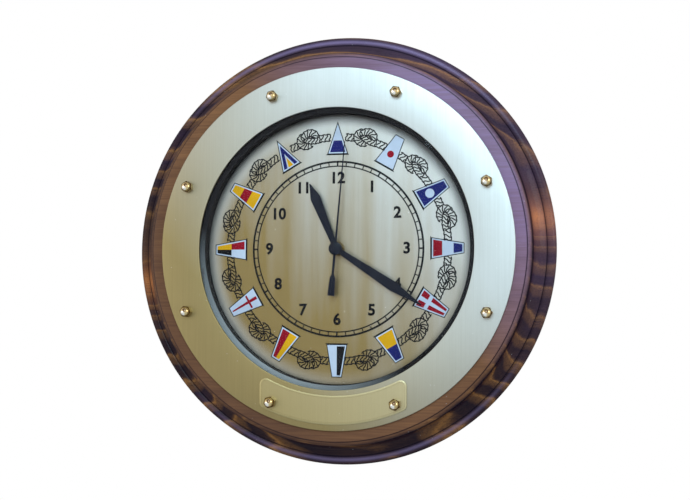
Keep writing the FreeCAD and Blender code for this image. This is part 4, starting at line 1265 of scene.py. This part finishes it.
def rope_figures(path, half, pitch, layer):
    """A laid rope drawn along a path: bare brass under it, strand lines that cross from edge to edge as an S,
    where the way along grows with the way across plus a sine, and scalloped edges that swell between strands."""
    line = bpy.context.scene.clock_print.rope_line
    curl, lean, waist, scallop = 0.42, 0.40, 0.94, 0.20
    whole = np.sum(np.linalg.norm(np.diff(path, axis=0), axis=1))
    count = max(1, round(whole / pitch))
    across = np.linspace(-1.0, 1.0, 11)
    slant = (across + curl * np.sin(np.pi * across)) * lean * pitch / whole
    strands = [across_path(path, mark + slant, across * half) for mark in np.linspace(0.0, 1.0, count + 1)]
    steps = np.linspace(0.0, 1.0, 6 * count + 1)
    swell = waist + scallop * np.abs(np.sin(np.pi * count * steps))
    edges = [across_path(path, steps, edge * swell * half) for edge in (-1.0, 1.0)]
    drawn = [(ribbon(points, line), layer + 1, 0) for points in strands + edges]
    return [(ribbon(path, 2.0 * half), layer, 1)] + drawn


# The two turns of a knot: middle, radius, and the angles where it starts and ends
LOWER_TURN = ((-2.1 * MM, -0.7 * MM), 4.5 * MM, 140.0, 345.0)
UPPER_TURN = ((1.3 * MM, 0.7 * MM), 4.4 * MM, -80.0, 112.0)

# Degrees from a pennant to the two ends of each length of rope, and to the knot between them
ROPE_LENGTHS = ((4.2, 10.6), (19.4, 26.2))
KNOT_BEARING = 14.7


def bow(center, radius, first, last):
    """Part of an ellipse longer than high, clockwise from the top, as the turns of a knot lie: x = 1.1 r sin a,
    y = 0.92 r cos a about the centre."""
    angles = np.radians(np.linspace(first, last, 61))
    circle = np.stack([center[0] + radius * np.sin(angles), center[1] + radius * np.cos(angles)], -1)
    return circle * (1.1, 0.92)


def knot_figures():
    """An overhand knot drawn upright: a lower turn at the left, an upper turn over it at the right, and over
    both the end, which leaves the middle to the right and dips as part of a sine."""
    sizes = bpy.context.scene.clock_print
    lower, upper = bow(*LOWER_TURN), bow(*UPPER_TURN)
    way = np.linspace(0.0, 1.0, 41)
    end = np.stack([(-2.2 + 11.6 * way) * MM, (-0.4 - 2.6 * np.sin(np.pi * 0.62 * way)) * MM], -1)
    return (rope_figures(lower, sizes.knot_half, sizes.knot_pitch, 2)
            + rope_figures(upper, sizes.knot_half, sizes.knot_pitch, 4)
            + rope_figures(end, 0.8 * sizes.knot_half, sizes.end_pitch, 6))


class CLOCK_OT_rope(bpy.types.Operator):
    """Prints the rope that runs from pennant to pennant with a knot between them"""

    bl_idname = "clock.rope"
    bl_label = "Rope and knots"

    def execute(self, context):
        sizes = context.scene.clock_print
        for hour in range(HOURS):
            start = HOUR_TURN * hour
            figures = []
            for first, last in ROPE_LENGTHS:
                bearings = start + np.radians(np.linspace(first, last, 25))
                path = np.stack([np.sin(bearings), np.cos(bearings)], -1) * sizes.rope_radius
                figures += rope_figures(path, sizes.rope_half, sizes.rope_pitch, 0)
            figures += at_clock(knot_figures(), start + math.radians(KNOT_BEARING), sizes.knot_radius)
            print_piece(f"rope_{hour + 1}", figures, [ink("black"), dial_brass()])
        return {"FINISHED"}


class CLOCK_OT_hands(bpy.types.Operator):
    """Paints the hands and eases their edges"""

    bl_idname = "clock.hands"
    bl_label = "Hands"

    def execute(self, context):
        paint = polished_finish("Hand paint", context.scene.clock_movement.paint, 0.30, metallic=0.0, bump=0.06,
                                size=0.6, Specular_IOR_Level=0.14)
        for hand, ease in (("hour", 0.10), ("minute", 0.10), ("second", 0.08)):
            eased_copy(f"{hand}_hand", f"painted_{hand}_hand", paint, ease * MM, f"{hand}s")
        return {"FINISHED"}


class CLOCK_OT_centre(bpy.types.Operator):
    """Finishes the washer, nut, neck and arbors under the hands"""

    bl_idname = "clock.centre"
    bl_label = "Nut and arbors"

    def execute(self, context):
        colours = context.scene.clock_movement
        washer = polished_finish("Washer brass", colours.washer, 0.30, bump=0.05)
        eased_copy("brass_washer", "dial_washer", washer, 0.08 * MM)
        eased_copy("hex_nut", "neck_nut", washer, 0.15 * MM)
        dress(polished_finish("Neck brass", colours.neck, 0.34, bump=0.08, size=1.4),
              "threaded_bushing", "cannon_pinion")
        dress(polished_finish("Arbor steel", colours.steel, 0.24, bump=0.03), "seconds_arbor")
        return {"FINISHED"}


class CLOCK_OT_movement(bpy.types.Operator):
    """Finishes the movement: housing, wheels, knob, battery and contacts"""

    bl_idname = "clock.movement"
    bl_label = "Movement"

    def execute(self, context):
        colours = context.scene.clock_movement
        plastic = polished_finish("Housing plastic", colours.housing, 0.46, metallic=0.0, bump=0.22, size=0.5)
        eased_copy("movement_case", "movement_housing", plastic, 0.25 * MM)
        dress(plastic, "movement_face")
        wheel = polished_finish(
            "Wheel plastic", colours.wheel, 0.36, metallic=0.0, bump=0.05, Subsurface_Weight=0.1)
        dress(wheel, "motion_wheel", "hour_wheel", "setting_wheel")
        dress(polished_finish("Washer rubber", colours.rubber, 0.75, metallic=0.0, bump=0.25), "rubber_washer")
        dress(polished_finish("Knob plastic", colours.knob, 0.42, metallic=0.0, bump=0.15), "setting_knob")
        dress(polished_finish("Contact steel", colours.steel, 0.22), "positive_contact", "negative_contact")
        dress(sleeve_finish(), "battery")
        return {"FINISHED"}


class CLOCK_OT_hanger(bpy.types.Operator):
    """Finishes the keyhole plate and its screws"""

    bl_idname = "clock.hanger"
    bl_label = "Hanger"

    def execute(self, context):
        colours = context.scene.clock_movement
        zinc = polished_finish("Zinc plate", colours.zinc, 0.34, bump=0.10, size=0.4, spread=0.14)
        dress(zinc, "hanger_plate")
        dress(polished_finish("Screw brass", colours.screw, 0.28, bump=0.06), "hanger_screws")
        return {"FINISHED"}


def add_lamp(name, spot, size, power, tint=(1.0, 1.0, 1.0)):
    """A square lamp turned to the middle of the clock."""
    lamp = bpy.data.lights.new(name, "AREA")
    lamp.shape = "SQUARE"
    lamp.size, lamp.energy, lamp.color = size, power, tint
    holder = linked(name, lamp)
    holder.location = spot
    holder.rotation_euler = (-Vector(spot)).to_track_quat("-Z", "Y").to_euler()


def white_room(stage):
    """A world that lights plainly and looks white to the camera, to reflections and through glass."""
    world = bpy.data.worlds.new("Room")
    world.use_nodes = True
    world.node_tree.nodes.clear()
    n = Nodes(world.node_tree)
    path = n.add("LightPath").outputs
    seen = n.most(path["Is Camera Ray"], path["Is Glossy Ray"], path["Is Transmission Ray"])
    room = n.add("Background", {0: solid(stage.room_tint), 1: stage.room_light}).outputs[0]
    white = n.add("Background", {0: solid((1.0, 1.0, 1.0)), 1: 1.0}).outputs[0]
    n.add("OutputWorld", {"Surface": n.add("MixShader", {0: seen, 1: room, 2: white}).outputs[0]})
    return world


def add_camera(stage):
    """The camera that stands where the photograph was taken."""
    camera = bpy.data.cameras.new("Camera")
    camera.sensor_width, camera.lens = 36.0, stage.focal
    camera.clip_start, camera.clip_end = 0.01, 50.0
    holder = linked("Camera", camera)
    holder.location = stage.camera_place
    holder.rotation_euler = (stage.tilt, stage.roll, stage.turn)
    bpy.context.scene.camera = holder


def new_floor(stage):
    """A square floor below the clock."""
    half, down = stage.floor_size / 2, -stage.floor_drop
    mesh = bpy.data.meshes.new("floor")
    corners = [(-half, -half, down), (half, -half, down), (half, half, down), (-half, half, down)]
    mesh.from_pydata(corners, [], [(0, 1, 2, 3)])
    mesh.materials.append(polished_finish(
        "Floor paint", stage.floor_colour, 0.7, metallic=0.0, bump=0.02, size=0.1, shade=0.97))
    return linked("floor", mesh)


class CLOCK_OT_stage(bpy.types.Operator):
    """Sets up the camera, the lamps, the floor and the pale background"""

    bl_idname = "clock.stage"
    bl_label = "Stage"

    def execute(self, context):
        stage = context.scene.clock_stage
        context.scene.view_settings.view_transform = "Standard"
        add_camera(stage)
        add_lamp("Key lamp", stage.key_place, stage.key_size, stage.key_power, stage.key_tint)
        add_lamp("Fill lamp", stage.fill_place, stage.fill_size, stage.fill_power)
        add_lamp("Window lamp", stage.window_place, stage.window_size, stage.window_power)
        context.scene.world = white_room(stage)
        floor = new_floor(stage)
        return {"FINISHED"}


class CLOCK_PT_panel(bpy.types.Panel):
    """Lists the clock's pieces and their sizes"""

    bl_idname = "CLOCK_PT_panel"
    bl_label = "Clock"
    bl_space_type = "VIEW_3D"
    bl_region_type = "UI"
    bl_category = "Clock"

    def draw(self, context):
        for operator in OPERATORS:
            self.layout.operator(operator.bl_idname)
        for name, group in GROUPS.items():
            box = self.layout.box()
            box.label(text=group.__doc__)
            for size in group.__annotations__:
                box.prop(getattr(context.scene, name), size)


GROUPS = {
    "clock_case": CaseSizes,
    "clock_brass": BrassSizes,
    "clock_print": PrintSizes,
    "clock_movement": MovementColours,
    "clock_stage": StageSizes,
}
OPERATORS = (
    CLOCK_OT_stage, CLOCK_OT_case, CLOCK_OT_ring, CLOCK_OT_nameplate, CLOCK_OT_nuts, CLOCK_OT_glass,
    CLOCK_OT_dial, CLOCK_OT_track, CLOCK_OT_numerals, CLOCK_OT_pennants, CLOCK_OT_rope, CLOCK_OT_hands,
    CLOCK_OT_centre, CLOCK_OT_movement, CLOCK_OT_hanger,
)


def register():
    """Registers the size groups, the operators and the panel."""
    for name, group in GROUPS.items():
        bpy.utils.register_class(group)
        setattr(bpy.types.Scene, name, bpy.props.PointerProperty(type=group))
    for operator in OPERATORS:
        bpy.utils.register_class(operator)
    bpy.utils.register_class(CLOCK_PT_panel)


def unregister():
    """Takes back what register did."""
    bpy.utils.unregister_class(CLOCK_PT_panel)
    for operator in reversed(OPERATORS):
        bpy.utils.unregister_class(operator)
    for name, group in GROUPS.items():
        delattr(bpy.types.Scene, name)
        bpy.utils.unregister_class(group)


def main():
    """Makes the clock and its stage."""
    register()
    for operator in OPERATORS:
        family, name = operator.bl_idname.split(".")
        getattr(getattr(bpy.ops, family), name)()


if __name__ == "__main__":
    main()
